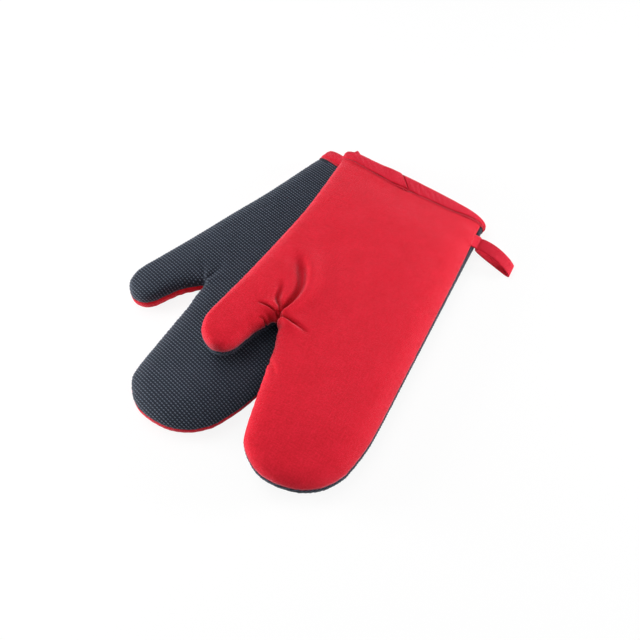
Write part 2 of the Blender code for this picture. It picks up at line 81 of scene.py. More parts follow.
FINGERTIPS = (
    (0.228, 0.216), (0.275, 0.115), (0.406, 0.019), (0.537, -0.003), (0.683, 0.023), (0.777, 0.068),
    (0.858, 0.137), (0.9125, 0.216), (0.953, 0.308), (0.991, 0.515),
)
PINKY_BEND = 0.721

# Layers from the outside in, crowns and rolls, as in the solids
GAP = 0.0003
BACK_LAYERS = (("panel", 0.0009), ("wadding", 0.0034), ("lining", 0.0006))
PALM_LAYERS = (("panel", 0.0020), ("wadding", 0.0022), ("lining", 0.0006))
WADDING_PRESSED = 0.4
BACK_CROWN, PALM_CROWN = 0.0125, 0.0095
UPPER_POWER, LOWER_POWER = 2.5, 3.2
SWELL, SWELL_REACH = 0.002, 0.030
BACK_SINK, PALM_SINK, SINK_REACH = 0.0024, 0.0008, 0.050
TAPE = 0.0009
BINDING_DEPTH = 0.0135
PINCH = TAPE + GAP
PINCH_START = BINDING_DEPTH + 0.0015
PINCH_FADE = 0.008
RIM = 0.0002
MOUTH_RIM = 0.0014
LOOP_HEIGHT = 0.0235
LOOP_REACH = 0.042
LOOP_WIDTH = 0.014
LOOP_THICKNESS = 0.0011
MOUTH_FADE = 0.0021

# How the pair lies, as in the solids
SHIFT = np.array([-0.00556, -0.01318])  # brings the middle of the pair's outline to the origin
RIGHT_PLACE, RIGHT_HEADING = np.array([0.0567, 0.1462]), math.radians(137.9)
SWAY, SWAY_REACH, SWAY_POWER = 0.0078, 0.130, 1.5
LEFT_PLACE, LEFT_HEADING = np.array([0.0893, 0.1325]), math.radians(153.1)
LEFT_TILT, LEFT_SIDE_LIFT = math.tan(math.radians(9.3)), 0.0351
LEFT_FOLD, LEFT_FOLD_FALL = 0.036, 0.0046
DROOP, DROOP_START = 0.0045, 0.255
YIELD = 0.06

# What the photograph shows beyond the solids. The crotch is gathered deeper, by these moves of its apex. The
# front cuff sags, and the rear fingertips are drawn in. Each glove's seam is rolled onto its upper half along
# the little finger's side, by these reaches at distances from the cuff.
CROTCH_APEX = CROTCH - [0, CROTCH_RADIUS]
GATHERS = {"left": (-0.0021, -0.0068), "right": (-0.0046, -0.0056)}
GATHER_REACH = 0.0095
CUFF_SAG, CUFF_SAG_REACH, CUFF_SAG_HEIGHT = 0.0013, 0.055, 0.004
TIPS_IN, TIPS_START = 0.0030, 0.250
SEAM_ROLLS = {
    "left": (
        (-0.1, 0.0060), (0.035, 0.0058), (0.09, 0.0042), (0.17, 0.0032), (0.24, 0.0027), (0.31, 0.0022)
    ),
    "right": ((0.0, 0.0), (0.12, 0.0), (0.2, 0.0009), (0.28, 0.0016), (0.31, 0.0016)),
}
SEAM_ROLL_REACH = 0.022

# The flat cloth's own coordinates fill a square of this side in its UV map
UV_SIDE = 0.40
UV_START = np.array([-0.16, -0.03])


def smooth_step(share):
    share = np.clip(share, 0, 1)
    return share * share * (3 - 2 * share)


def rise(share, power):
    """The rolled edge's height at a share of its width from the seam."""
    return (1 - (1 - np.clip(share, 0, 1)) ** power) ** (1 / power)


def ripples(points, size, seed):
    """Smooth noise of about -1 to 1 over points, in hills of a size."""
    points = np.atleast_2d(points)
    pad = np.zeros((len(points), 3))
    pad[:, : points.shape[1]] = points / size
    pad[:, 2] += seed * 7.31
    return np.array([noise.noise(Vector(p)) for p in pad]) * 1.6


def curve_through(rows, steps):
    """A smooth curve through all rows but the first and the last, in so many steps from row to row."""
    t = np.arange(steps)[:, None] / steps
    fine = [
        0.5 * (2 * start + (end - before) * t + (2 * before - 5 * start + 4 * end - after) * t**2
               + (3 * start - before - 3 * end + after) * t**3)
        for before, start, end, after in zip(rows, rows[1:], rows[2:], rows[3:])
    ]
    return np.vstack([*fine, rows[-2]])


def lengths(line):
    """How far each point of a line is from its start, along the line."""
    return np.concatenate([[0], np.cumsum(np.linalg.norm(np.diff(line, axis=0), axis=1))])


def ring_faces(rings, sides, closed=True):
    """Faces between rings of points that follow each other, and from the last to the first if closed."""
    faces = []
    for i in range(rings if closed else rings - 1):
        for j in range(sides):
            here, there, turn = i * sides, (i + 1) % rings * sides, (j + 1) % sides
            faces.append((here + j, here + turn, there + turn, there + j))
    return faces


class Cut:
    """The glove's outline along its seam, finely divided, from the cuff's thumb side round to the other."""

    STEPS = (0.0008, 0.0015)  # near the crotch and the thumb, and elsewhere
    NEAR = (-0.03, 0.078)

    def __init__(self):
        rows = [(HALF_WIDTH, y, 0.0) for y in (-0.004, 0.0, 0.02)]
        rows += [(HALF_WIDTH + (THUMB_REACH - HALF_WIDTH) * a, THUMB_HEIGHT * b, n) for a, b, n in THUMB_SIDE]
        rows += [(CROTCH[0] + THUMB_WIDTH * a, THUMB_HEIGHT - THUMB_WIDTH * b, 1.0) for a, b in THUMB_TIP]
        straight = THUMB_HEIGHT - THUMB_WIDTH * THUMB_TIP[-1][1] - CROTCH_HEIGHT
        rows += [(CROTCH[0] + THUMB_WIDTH * a, CROTCH_HEIGHT + straight * b, 1.0) for a, b in THUMB_INSIDE]
        for angle in np.radians(np.linspace(-18, -142, 7)):
            rows.append((*(CROTCH + CROTCH_RADIUS * np.array([math.cos(angle), math.sin(angle)])), 0.75))
        straight = GLOVE_LENGTH - FINGERS_WIDTH * FINGERTIPS[0][1] - CROTCH_HEIGHT
        rows += [
            (CROTCH[0] - FINGERS_WIDTH * a, CROTCH_HEIGHT + straight * b, n) for a, b, n in FINGER_SIDE
        ]
        rows += [
            (CROTCH[0] - FINGERS_WIDTH * a, GLOVE_LENGTH - FINGERS_WIDTH * b, 0.0) for a, b in FINGERTIPS
        ]
        bend = GLOVE_LENGTH - FINGERS_WIDTH * PINKY_BEND
        rows += [(-HALF_WIDTH, y, 0.0) for y in (bend, bend * 0.75, bend * 0.5, bend * 0.25, 0.0, -0.004)]
        fine = curve_through(np.array(rows), 16)
        fine[:, 2] = HAND_ROLL + (THUMB_ROLL - HAND_ROLL) * np.clip(fine[:, 2], 0, 1)
        far = lengths(fine[:, :2])
        apex = far[np.argmin(np.linalg.norm(fine[:, :2] - CROTCH_APEX, axis=1))]
        stops = [0.0]
        while stops[-1] < far[-1]:
            near = self.NEAR[0] < stops[-1] - apex < self.NEAR[1]
            stops.append(stops[-1] + self.STEPS[0 if near else 1])
        stops = np.array(stops) * far[-1] / stops[-1]
        self.arc = stops
        self.line = np.stack([np.interp(stops, far, fine[:, k]) for k in (0, 1)], axis=1)
        self.roll = np.interp(stops, far, fine[:, 2])
        self.apex = apex * stops[-1] / far[-1]
        along = np.gradient(self.line, axis=0)
        along[0], along[-1] = (0, 1), (0, -1)
        self.inward = np.stack([-along[:, 1], along[:, 0]], axis=1)
        self.inward /= np.linalg.norm(self.inward, axis=1)[:, None]

    def seen_from(self, points):
        """For each point: distance to the seam, share of the roll, and the seam's arc, roll and way in."""
        start, step = self.line[:-1], np.diff(self.line, axis=0)
        size = (step**2).sum(1)
        out = []
        for some in np.array_split(points, max(1, len(points) // 1500)):
            offset = some[:, None] - start[None]
            share = np.clip((offset * step).sum(2) / size, 0, 1)
            gap = np.linalg.norm(offset - share[..., None] * step, axis=2)
            width = self.roll[:-1] + (self.roll[1:] - self.roll[:-1]) * share
            row = np.arange(len(some))
            near = gap.argmin(1)
            part = share[row, near]
            out.append(
                np.column_stack([
                    gap[row, near],
                    (gap / width).min(1),
                    self.arc[near] + (self.arc[near + 1] - self.arc[near]) * part,
                    width[row, near],
                    self.inward[near] * (1 - part)[:, None] + self.inward[near + 1] * part[:, None],
                ])
            )
        return np.vstack(out)


def inside(points, outline):
    x, y = points[:, :1], points[:, 1:]
    ax, ay = outline[:, 0], outline[:, 1]
    bx, by = np.roll(ax, -1), np.roll(ay, -1)
    crosses = (ay > y) != (by > y)
    return (crosses & (x < ax + (y - ay) * (bx - ax) / np.where(by == ay, 1, by - ay))).sum(1) % 2 == 1


class Net:
    """Points and triangles over the glove's outline, close together at the seam and round the crotch."""

    def __init__(self, cut, every, rings, grids):
        seam = np.arange(0, len(cut.line), every)
        if seam[-1] != len(cut.line) - 1:
            seam = np.append(seam[:-1], len(cut.line) - 1)
        line, inward = cut.line[seam], cut.inward[seam]
        ends = HALF_WIDTH - rings[-1]
        across = np.linspace(-ends, ends, max(8, int(2 * ends / grids[-1][0])))
        cuff = [*(-HALF_WIDTH + r for r in rings[:-1]), *across, *(HALF_WIDTH - r for r in rings[-2::-1])]
        cuff = np.array([(x, 0.0) for x in cuff])
        border = np.vstack([line, cuff])
        sets = [border, *(line[1:-1] + inward[1:-1] * r for r in rings)]
        seen = []
        for pitch, start, end in grids:
            ys = np.arange(0.0, GLOVE_LENGTH, pitch * math.sqrt(3) / 2)[1:]
            grid = np.array([
                (x + pitch / 2 * (row % 2), y)
                for row, y in enumerate(ys)
                for x in np.arange(-HALF_WIDTH, THUMB_REACH, pitch)
            ])
            away = np.linalg.norm(grid - CROTCH, axis=1)
            grid = grid[(away >= start) & (away < end)]
            seen.append(grid[inside(grid, border)])
        grid = np.vstack(seen)
        wide = np.concatenate([[g[0]] * len(s) for g, s in zip(grids, seen)])
        keep = cut.seen_from(grid)[:, 0] > rings[-1] + wide * 0.55
        sets.append(grid[keep])
        points = np.vstack(sets)
        edges = [(i, (i + 1) % len(border)) for i in range(len(border))]
        made, _, faces, sources, _, _ = delaunay_2d_cdt([Vector(p) for p in points], edges, [], 1, 1e-7)
        if len(made) != len(points):
            raise RuntimeError("the net of the cloth lost points")
        self.points = points
        self.faces = np.array([[sources[v][0] for v in face] for face in faces])
        self.border = len(border)
        self.seam = len(line)
        facts = cut.seen_from(points)
        self.gap, self.share, self.arc, self.roll, self.inward = (
            facts[:, 0], facts[:, 1], facts[:, 2], facts[:, 3], facts[:, 4:]
        )
        self.gap[: self.seam] = self.share[: self.seam] = 0
        pairs = np.vstack([self.faces[:, [0, 1]], self.faces[:, [1, 2]], self.faces[:, [2, 0]]])
        self.pairs = np.unique(np.sort(pairs, axis=1), axis=0)
        self.reach = np.maximum(self.share - 1, 0) * self.roll
        self.from_apex = self.arc - cut.apex

    def relax(self, values, rounds, hold):
        """Values over the points, evened out among neighbours where hold is 0."""
        a, b = self.pairs.T
        count = np.bincount(np.concatenate([a, b]), minlength=len(values))
        for _ in range(rounds):
            total = np.bincount(a, values[b], len(values)) + np.bincount(b, values[a], len(values))
            values = values + (total / count - values) * 0.7 * (1 - hold)
        return values

    def normals(self, surface, at_seam):
        """Unit normals of a surface over the net, given at the seam and square to the cuff at its edge."""
        a, b, c = (surface[self.faces[:, k]] for k in range(3))
        face = np.cross(b - a, c - a)
        out = np.zeros_like(surface)
        for k in range(3):
            np.add.at(out, self.faces[:, k], face)
        out[self.points[:, 1] < 1e-6, 1] = 0
        out[: self.seam] = at_seam
        return out / np.linalg.norm(out, axis=1)[:, None]


def bound(y):
    return 1 - smooth_step((y - PINCH_START) / PINCH_FADE)


def mouth(x, y):
    """1 where the seam is open for the loop's tape, and 0 away from there."""
    away = np.abs(y - LOOP_HEIGHT) - LOOP_WIDTH / 2 - 0.0003
    return (1 - smooth_step(away / MOUTH_FADE)) * (x < -HALF_WIDTH / 2)


class Half:
    """One half of a glove: its layers, how it puffs up, and which way it faces."""

    def __init__(self, name, way):
        self.name, self.way = name, way
        self.layers = BACK_LAYERS if name == "back" else PALM_LAYERS
        self.crown = BACK_CROWN if name == "back" else PALM_CROWN
        self.sink = 0 if way < 0 else (BACK_SINK if name == "back" else PALM_SINK)
        self.swell = SWELL if way > 0 else 0
        self.power = UPPER_POWER if way > 0 else LOWER_POWER

    def top(self, y):
        sink = self.sink * (1 - smooth_step((y - PINCH_START) / SINK_REACH))
        return self.crown - PINCH * bound(y) - sink

    def depths(self, y):
        """The depths of the layers' two sides under the outer surface, at distances y from the cuff."""
        here, found = np.zeros(len(y)), {}
        for layer, thickness in self.layers:
            pressed = thickness * (1 - (1 - WADDING_PRESSED) * bound(y) * (layer == "wadding"))
            found[layer] = (here, here + pressed)
            here = here + pressed + GAP
        return found

    def wall(self):
        """The three layers' thickness inside the binding."""
        return self.depths(np.zeros(1))["lining"][1][0]

    def surface(self, net):
        """The outer surface over the net's points, facing up."""
        x, y = net.points.T
        rim = RIM + (MOUTH_RIM - RIM) * mouth(x, y)
        height = rim + (self.top(y) - rim) * rise(net.share, self.power)
        height = height + self.swell * (1 - np.exp(-net.reach / SWELL_REACH))
        height = net.relax(height, 30, 1 - smooth_step((net.share - 0.45) / 0.3))
        return np.column_stack([net.points, height])

    def profile(self, roll, y):
        """Distances along the rolled edge, and how far in and up it is there, at a distance from the cuff."""
        share = np.linspace(0, 1, 60) ** 2
        inward, up = share * roll, RIM + (self.top(y) - RIM) * rise(share, self.power)
        far = np.concatenate([[0], np.cumsum(np.hypot(np.diff(inward), np.diff(up)))])
        return far, inward, up

    def flat(self, net):
        """Where each point lies on the flat cloth, with the rolled edge laid out."""
        steps = np.linspace(0, 1, 25)[None]
        share = np.clip(net.share, 0, 1)[:, None]
        s = share + (1 - share) * steps
        run = np.diff(s, axis=1) * net.roll[:, None]
        up = np.diff(rise(s, self.power), axis=1) * self.crown
        extra = np.hypot(run, up).sum(1) - (1 - share[:, 0]) * net.roll
        extra *= smooth_step(np.linalg.norm(net.points - CROTCH, axis=1) / 0.02)
        return net.points - net.inward * extra[:, None]


def turned(heading):
    """The matrix by which rows of points turn to a heading."""
    c, s = math.cos(heading), math.sin(heading)
    return np.array([[c, s], [-s, c]])


class Lay:
    """Where a glove lies: points of its own frame as points of the model."""

    def __init__(self, side):
        self.side = side
        left = side == "left"
        self.place = LEFT_PLACE if left else RIGHT_PLACE
        self.turn = turned(LEFT_HEADING if left else RIGHT_HEADING)
        self.seam_height = PALM_CROWN if left else BACK_CROWN
        self.upper = Half("back" if left else "palm", 1)
        self.lower = Half("palm" if left else "back", -1)

    def half(self, name):
        return self.upper if self.upper.name == name else self.lower

    def slope(self, x, y):
        fold = LEFT_FOLD_FALL * np.clip((LEFT_FOLD - HALF_WIDTH - x) / LEFT_FOLD, 0, 1) ** 2
        droop = DROOP * smooth_step((y - DROOP_START) / (GLOVE_LENGTH - DROOP_START))
        return LEFT_SIDE_LIFT - PALM_CROWN + (x - HALF_WIDTH) * LEFT_TILT - fold - droop

    def gathered(self, points):
        """Points of the glove's own frame with the crotch drawn deeper into the hand."""
        near = np.exp(-(((points[:, :2] - CROTCH_APEX) / GATHER_REACH) ** 2).sum(1))
        moved = np.array(points, float)
        moved[:, :2] += near[:, None] * GATHERS[self.side]
        return moved

    def world(self, points):
        x, y, z = self.gathered(np.array(points, float).reshape(-1, 3)).T
        if self.side == "left":
            bow = 1 - np.clip(x / HALF_WIDTH, -1, 1) ** 2
            sag = CUFF_SAG * bow * (1 - smooth_step(y / CUFF_SAG_REACH))
            z = z - sag * smooth_step(z / CUFF_SAG_HEIGHT)
            z = z + self.seam_height + self.slope(x, y)
        else:
            y = y - TIPS_IN * smooth_step((y - TIPS_START) / (GLOVE_LENGTH - TIPS_START))
            x = x - SWAY * np.clip(1 - y / SWAY_REACH, 0, None) ** SWAY_POWER
            free = BACK_CROWN + PALM_CROWN + SWELL
            table = np.column_stack([x, y]) @ self.turn + self.place
            over = (table - LEFT_PLACE) @ turned(LEFT_HEADING).T
            room = (self.slope(*over.T) - GAP) / free
            give = (1 + room - np.sqrt((1 - room) ** 2 + YIELD**2)) / 2
            z = (z + self.seam_height) * give
        flat = np.column_stack([x, y]) @ self.turn + self.place + SHIFT
        return np.column_stack([flat, z])


class Value:
    """A node's socket, on which Python's operators add Math nodes."""

    def __init__(self, graph, socket):
        self.graph, self.socket = graph, socket

    def math(self, operation, *others):
        return self.graph.math(operation, self, *others)

    def __add__(self, other):
        return self.math("ADD", other)

    def __sub__(self, other):
        return self.math("SUBTRACT", other)

    def __rsub__(self, other):
        return self.graph.math("SUBTRACT", other, self)

    def __mul__(self, other):
        return self.math("MULTIPLY", other)

    def __truediv__(self, other):
        return self.math("DIVIDE", other)

    def __rtruediv__(self, other):
        return self.graph.math("DIVIDE", other, self)

    def __mod__(self, other):
        return self.math("FLOORED_MODULO", other)

    def __pow__(self, other):
        return self.math("POWER", other)

    def __gt__(self, other):
        return self.math("GREATER_THAN", other)

    def __abs__(self):
        return self.math("ABSOLUTE")

    def sine(self):
        return self.math("SINE")

    def floor(self):
        return self.math("FLOOR")

    __radd__, __rmul__ = __add__, __mul__


class Graph:
    """A node tree that is built from Python expressions."""

    def __init__(self, tree):
        self.tree = tree

    def node(self, kind, settings=None, sockets=None):
        """Adds a node: its settings first, then the values or links of its sockets, by name or place."""
        made = self.tree.nodes.new(kind)
        for name, value in (settings or {}).items():
            setattr(made, name, value)
        for name, value in (sockets or {}).items():
            if isinstance(value, Value):
                self.tree.links.new(value.socket, made.inputs[name])
            else:
                made.inputs[name].default_value = value
        return made

    def out(self, kind, settings=None, sockets=None, output=0):
        return Value(self, self.node(kind, settings, sockets).outputs[output])

    def math(self, operation, *values):
        return self.out("ShaderNodeMath", {"operation": operation}, dict(enumerate(values)))

    def vector(self, operation, *values):
        return self.out("ShaderNodeVectorMath", {"operation": operation}, dict(enumerate(values)))

    def joined(self, *values):
        return self.out("ShaderNodeCombineXYZ", None, dict(enumerate(values)))

    def parted(self, vector):
        """A vector's first two numbers."""
        made = self.node("ShaderNodeSeparateXYZ", None, {0: vector})
        return Value(self, made.outputs[0]), Value(self, made.outputs[1])


FINISHES = {}


class Finish(Graph):
    """One material. Its unvarying numbers are set on the shader's own sockets."""

    def __init__(self, key, name, fixed):
        FINISHES[key] = made = bpy.data.materials.new(name)
        made.use_nodes = True
        super().__init__(made.node_tree)
        self.shader = self.tree.nodes["Principled BSDF"]
        for socket, value in fixed.items():
            self.shader.inputs[socket].default_value = value

    def cloth(self, pitch):
        """The flat cloth's two coordinates, in threads of a pitch."""
        flat = self.out("ShaderNodeUVMap", {"uv_map": "cloth"})
        return self.parted(self.vector("MULTIPLY", flat, (UV_SIDE / pitch,) * 3))

    def weave(self, pitch):
        """Height of a plain weave: threads that pass over and under each other."""
        u, v = self.cloth(pitch)
        across, along = (u * math.pi).sine(), (v * math.pi).sine()
        over = across * along > 0
        return over * abs(across) + (1 - over) * abs(along)

    def mottle(self, place, scale=1.0, detail=1.0):
        return self.out("ShaderNodeTexNoise", None, {"Vector": place, "Scale": scale, "Detail": detail})

    def grain(self, size, detail=2.0):
        """Noise of about 0 to 1 in spots of a size, in space."""
        return self.mottle(self.out("ShaderNodeTexCoord", None, None, "Object"), 1 / size, detail)

    def colour(self, base, amount, spread=1.0):
        """The base colour times a brightness, to which green and blue answer by a power."""
        mixed = self.node("ShaderNodeMix", {"data_type": "RGBA", "blend_type": "MULTIPLY"}, {0: 1.0})
        mixed.inputs[6].default_value = (*base, 1)
        pale = amount**spread
        grey = self.out("ShaderNodeCombineColor", None, {0: amount, 1: pale, 2: pale})
        self.tree.links.new(grey.socket, mixed.inputs[7])
        self.tree.links.new(mixed.outputs[2], self.shader.inputs["Base Color"])

    def rough(self, value):
        self.tree.links.new(value.socket, self.shader.inputs["Roughness"])

    def bump(self, height, depth):
        normal = self.out("ShaderNodeBump", None, {"Height": height, "Distance": depth, "Strength": 1.0})
        self.tree.links.new(normal.socket, self.shader.inputs["Normal"])


def cotton(key, name, base, pitch, sheen):
    """Plain-woven cotton: threads, slubs, a little unevenness of the dye, and painted shade in its creases
    and grooves.
    """
    made = Finish(key, name, {
        "Sheen Weight": sheen, "Sheen Roughness": 0.3, "Sheen Tint": (1.0, 0.46, 0.56, 1),
        "Specular IOR Level": 0.12,
    })
    threads = made.weave(pitch)
    u, v = made.cloth(pitch)
    slubs = made.mottle(made.joined(u * 0.05, v * 0.8)) + made.mottle(made.joined(u * 0.8, v * 0.05))
    fuzz = made.grain(pitch * 2.6, 3.0)
    dye = made.grain(0.016)
    # Painted shade: a per-point attribute darkens the base colour in creases, grooves and the tape's lapped
    # slit
    painted_shade = made.out("ShaderNodeAttribute", {"attribute_name": "painted_shade"}, None, 2)
    amount = 0.40 + threads * 0.22 + fuzz * 0.44 + slubs * 0.24 + dye * 0.14
    made.colour(base, amount * (1 - painted_shade * 0.6), 3.0)
    made.rough(0.80 + fuzz * 0.14)
    made.bump(threads * 0.8 + fuzz * 0.7 + slubs * 0.4, pitch * 0.36)


def make_finishes():
    cloth = bpy.context.scene.glove_cloth
    pitch = cloth.thread_pitch
    cotton("red", "red_cotton_cloth", cloth.red, pitch, 0.6)
    cotton("tape", "red_tape_cloth", cloth.tape_red, pitch * 0.8, 0.5)

    palm = Finish("palm", "charcoal_knit", {
        "Specular IOR Level": 0.18, "Sheen Weight": 0.15, "Sheen Roughness": 0.35,
        "Sheen Tint": (0.80, 0.88, 1.0, 1),
    })
    u, v = palm.cloth(pitch * 1.7)
    loops = abs((u * math.pi).sine()) * abs((v * math.pi + (u.floor() % 2) * (math.pi / 2)).sine())
    fibre = palm.grain(0.0006, 3.0)
    palm.colour(cloth.charcoal, 0.40 + loops * 0.55 + fibre * 0.35 + palm.grain(0.02) * 0.15)
    palm.rough(0.62 + fibre * 0.2)
    palm.bump(loops * 0.8 + fibre * 0.4, 0.00025)

    dash = Finish("dash", "grey_dash_yarn", {"Specular IOR Level": 0.35})
    fibre = dash.grain(0.0004)
    dash.colour(cloth.dash_grey, 0.55 + fibre * 0.5 + dash.grain(0.012) * 0.35)
    dash.rough(0.45 + fibre * 0.2)
    dash.bump(fibre, 0.00012)

    lining = Finish("lining", "grey_brushed_lining", {"Sheen Weight": 0.35, "Specular IOR Level": 0.2})
    nap = lining.grain(0.0009, 4.0)
    threads = lining.weave(pitch * 1.2)
    lining.colour(cloth.lining_grey, 0.7 + nap * 0.4 + threads * 0.1)
    lining.rough(0.85 + nap * 0.1)
    lining.bump(nap + threads * 0.4, 0.0003)

    fill = Finish("wadding", "white_wadding_fibre", {"Sheen Weight": 0.2})
    fibre = fill.grain(0.0012, 5.0)
    fill.colour(cloth.wadding_white, 0.75 + fibre * 0.4)
    fill.rough(0.9 + fibre * 0.1)
    fill.bump(fibre, 0.0005)

    thread = Finish("thread", "red_sewing_thread", {"Specular IOR Level": 0.5, "Sheen Weight": 0.1})
    ply = thread.grain(0.0003, 1.0)
    # The thread's dark colour is partly its own red and partly painted shade of the stitch grooves and needle
    # holes
    thread.colour(cloth.thread_red_and_painted_shade, 0.7 + ply * 0.5)
    thread.rough(0.45 + ply * 0.2)
    thread.bump(ply, 0.00008)


def link(made):
    bpy.context.scene.collection.objects.link(made)
    return made


def new_piece(name, points, faces, finish, flat=None, painted_shade=None):
    """A mesh object in place, with the flat cloth's coordinates as its UV map and its painted shade from 0 to
    1.
    """
    mesh = bpy.data.meshes.new(name)
    mesh.from_pydata(np.asarray(points).tolist(), [], [tuple(map(int, face)) for face in faces])
    mesh.shade_smooth()
    if flat is not None:
        corners = np.empty(len(mesh.loops), np.int32)
        mesh.loops.foreach_get("vertex_index", corners)
        layer = mesh.uv_layers.new(name="cloth")
        layer.data.foreach_set("uv", ((flat - UV_START) / UV_SIDE)[corners].ravel())
    # The painted shade is kept as a point attribute that darkens the cotton's colour
    if painted_shade is not None:
        made = mesh.attributes.new("painted_shade", "FLOAT", "POINT")
        made.data.foreach_set("value", np.asarray(painted_shade, np.float32))
    mesh.materials.append(FINISHES[finish])
    return link(bpy.data.objects.new(name, mesh))


def attach(made, body, slot, *nodes):
    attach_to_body(made, body)
    if nodes:
        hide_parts(*nodes)
    return made


def shell(net, outer, inner, way):
    """Points and faces of the closed layer between two surfaces over a net."""
    count = len(outer)
    faces = [tuple(f[::way]) for f in net.faces]
    faces += [tuple(count + v for v in f[::-way]) for f in net.faces]
    for i in range(net.border):
        j = (i + 1) % net.border
        faces.append((i, count + i, count + j, j)[::way])
    return np.vstack([outer, inner]), faces


def crease(points, path, depth, width, shoulders, reach, hold):
    """A fold along a path, in millimetres: a valley with the cloth raised on either side of it."""
    rows = np.array(path, float)
    line = curve_through(np.vstack([2 * rows[0] - rows[1], rows, 2 * rows[-1] - rows[-2]]), 8) * MM
    start, step = line[:-1], np.diff(line, axis=0)
    offset = points[:, None] - start[None]
    share = np.clip((offset * step).sum(2) / (step**2).sum(1), 0, 1)
    away = offset - share[..., None] * step
    gap = np.linalg.norm(away, axis=2)
    near = gap.argmin(1)
    row = np.arange(len(near))
    side = step[near, 0] * offset[row, near, 1] - step[near, 1] * offset[row, near, 0]
    signed = np.where(side < 0, -1, 1) * gap[row, near]
    along = (near + share[row, near]) / len(step)
    fade = (1 - smooth_step((along - hold) / (1 - hold))) * (0.35 + 0.65 * smooth_step(along / 0.12))
    wide = (width[0] + (width[1] - width[0]) * along) * MM
    valley = -np.exp(-((signed / wide) ** 2))
    far = reach * MM * (0.4 + 0.6 * along)
    raised = sum(
        height * np.exp(-(((signed * way - far * 0.9) / far) ** 2)) for way, height in zip((1, -1), shoulders)
    )
    return depth * MM * fade * (valley + raised)


# Folds by glove, on its upper half round the crotch: the path from the crotch outwards in millimetres of the
# glove's frame, the depth, the width at both ends, the rise of the cloth on its two sides, how far that
# reaches, and the share of the path from which the fold fades out
FOLDS = {
    "left": (
        (((40.9, 193.2), (45.1, 191.6), (51.8, 191.2), (62, 193.0)), 4.2, (0.6, 1.5), (0.34, 0.30), 4.4,
         0.55),
        (((40.5, 192.6), (42.2, 187.4), (47.3, 181.6), (50.3, 171), (56, 158.5)), 4.4, (0.7, 4.4),
         (0.34, 0.28), 6.4, 0.45),
        (((39.9, 192.4), (38.2, 183), (36.1, 171.1), (37.2, 158.5), (43, 146), (50.8, 137.6), (62.5, 130.8)),
         6.4, (1.1, 7.2), (0.10, 0.52), 10.0, 0.62),
        (((39.9, 193.3), (32.5, 193.2), (23.7, 194.2), (15.2, 196), (6, 199.6)), 4.0, (0.6, 2.6),
         (0.18, 0.42), 6.4, 0.35),
        (((45.6, 203.6), (49.6, 202.4), (54, 204.5)), 2.2, (0.5, 1.1), (0.25, 0.25), 2.8, 0.4),
        (((28.5, 232), (22.5, 236.5), (17, 243), (12.5, 252)), 1.5, (1.2, 3.4), (0.40, 0.30), 4.8, 0.3),
    ),
    "right": (
        (((38.5, 194.2), (43, 189), (50, 184), (60, 179)), 1.0, (1.2, 3.2), (0.3, 0.3), 5.0, 0.3),
        (((37.9, 194), (36, 186), (37, 175), (42, 160)), 1.2, (1.3, 4.4), (0.2, 0.35), 7.0, 0.3),
        (((37.2, 194.6), (30, 192.8), (23, 192.6), (13, 195)), 0.9, (1.0, 3.4), (0.2, 0.35), 5.0, 0.3),
    ),
}
# Puckers all along the seam and notches beside the fingers: pitch, and how far they reach from the seam
PUCKER_PITCH, PUCKER_REACH = 7.5 * MM, 5.5 * MM
NOTCH_PITCH, NOTCH_REACH, NOTCH_DEPTH = 3.7 * MM, 2.6 * MM, 0.0014
# Seeds of the soft unevenness by the glove and the way its half faces, and of the notches, which both share
SEEDS = {("left", 1): 1, ("left", -1): 2, ("right", 1): 3, ("right", -1): 4}
NOTCH_SEEDS = (9, 10)


def drape(net, lay, half):
    """How far the cloth stands off its smooth form: folds, puckers along the seam and soft unevenness."""
    given = bpy.context.scene.glove_padding
    seed = SEEDS[lay.side, half.way]
    here = lay.gathered(net.points)
    folds = FOLDS[lay.side] if half is lay.upper else ()
    total = sum((crease(here, *fold) for fold in folds), np.zeros(len(here))) * given.fold_depth
    # Puckers at an uneven pitch and depth, deepest round the crotch
    arc = net.arc[:, None]
    drift = ripples(arc, 0.03, seed) * 2.2
    amount = 0.5 + 0.5 * ripples(arc, 0.05, seed + 3)
    pucker = np.sin(net.arc / PUCKER_PITCH * 2 * math.pi + drift * math.pi) * amount
    round_crotch = np.exp(-((net.from_apex / 0.03) ** 2))
    pucker = pucker * (0.16 + 0.30 * round_crotch) * MM
    total = total + pucker * np.exp(-net.gap / PUCKER_REACH)
    # Sharper notches, between 6 and 60 mm of seam from the crotch's apex towards the fingertips
    notched = smooth_step((net.from_apex - 0.006) / 0.01) * (1 - smooth_step((net.from_apex - 0.060) / 0.015))
    shifted = net.arc / NOTCH_PITCH * math.pi + ripples(arc, 0.03, NOTCH_SEEDS[0]) * 1.3
    notch = (np.abs(np.sin(shifted)) ** 0.7 - 0.6) * (0.55 + 0.6 * ripples(arc, 0.009, NOTCH_SEEDS[1]))
    total = total + notch * notched * NOTCH_DEPTH * np.exp(-net.gap / NOTCH_REACH) * given.pucker
    # Soft unevenness inside the rolled edge, none in the binding
    soft = ripples(net.points, 0.034, seed + 11) * 0.42 + ripples(net.points, 0.013, seed + 17) * 0.10
    return total + soft * MM * smooth_step((net.share - 0.25) / 0.8) * (1 - bound(net.points[:, 1]))


def seam_slide(lay, x, y):
    """How far the lower half reaches round onto the upper one, by where on the glove."""
    return np.interp(y, *np.array(SEAM_ROLLS[lay.side]).T) * smooth_step((0.02 - x) / 0.03)


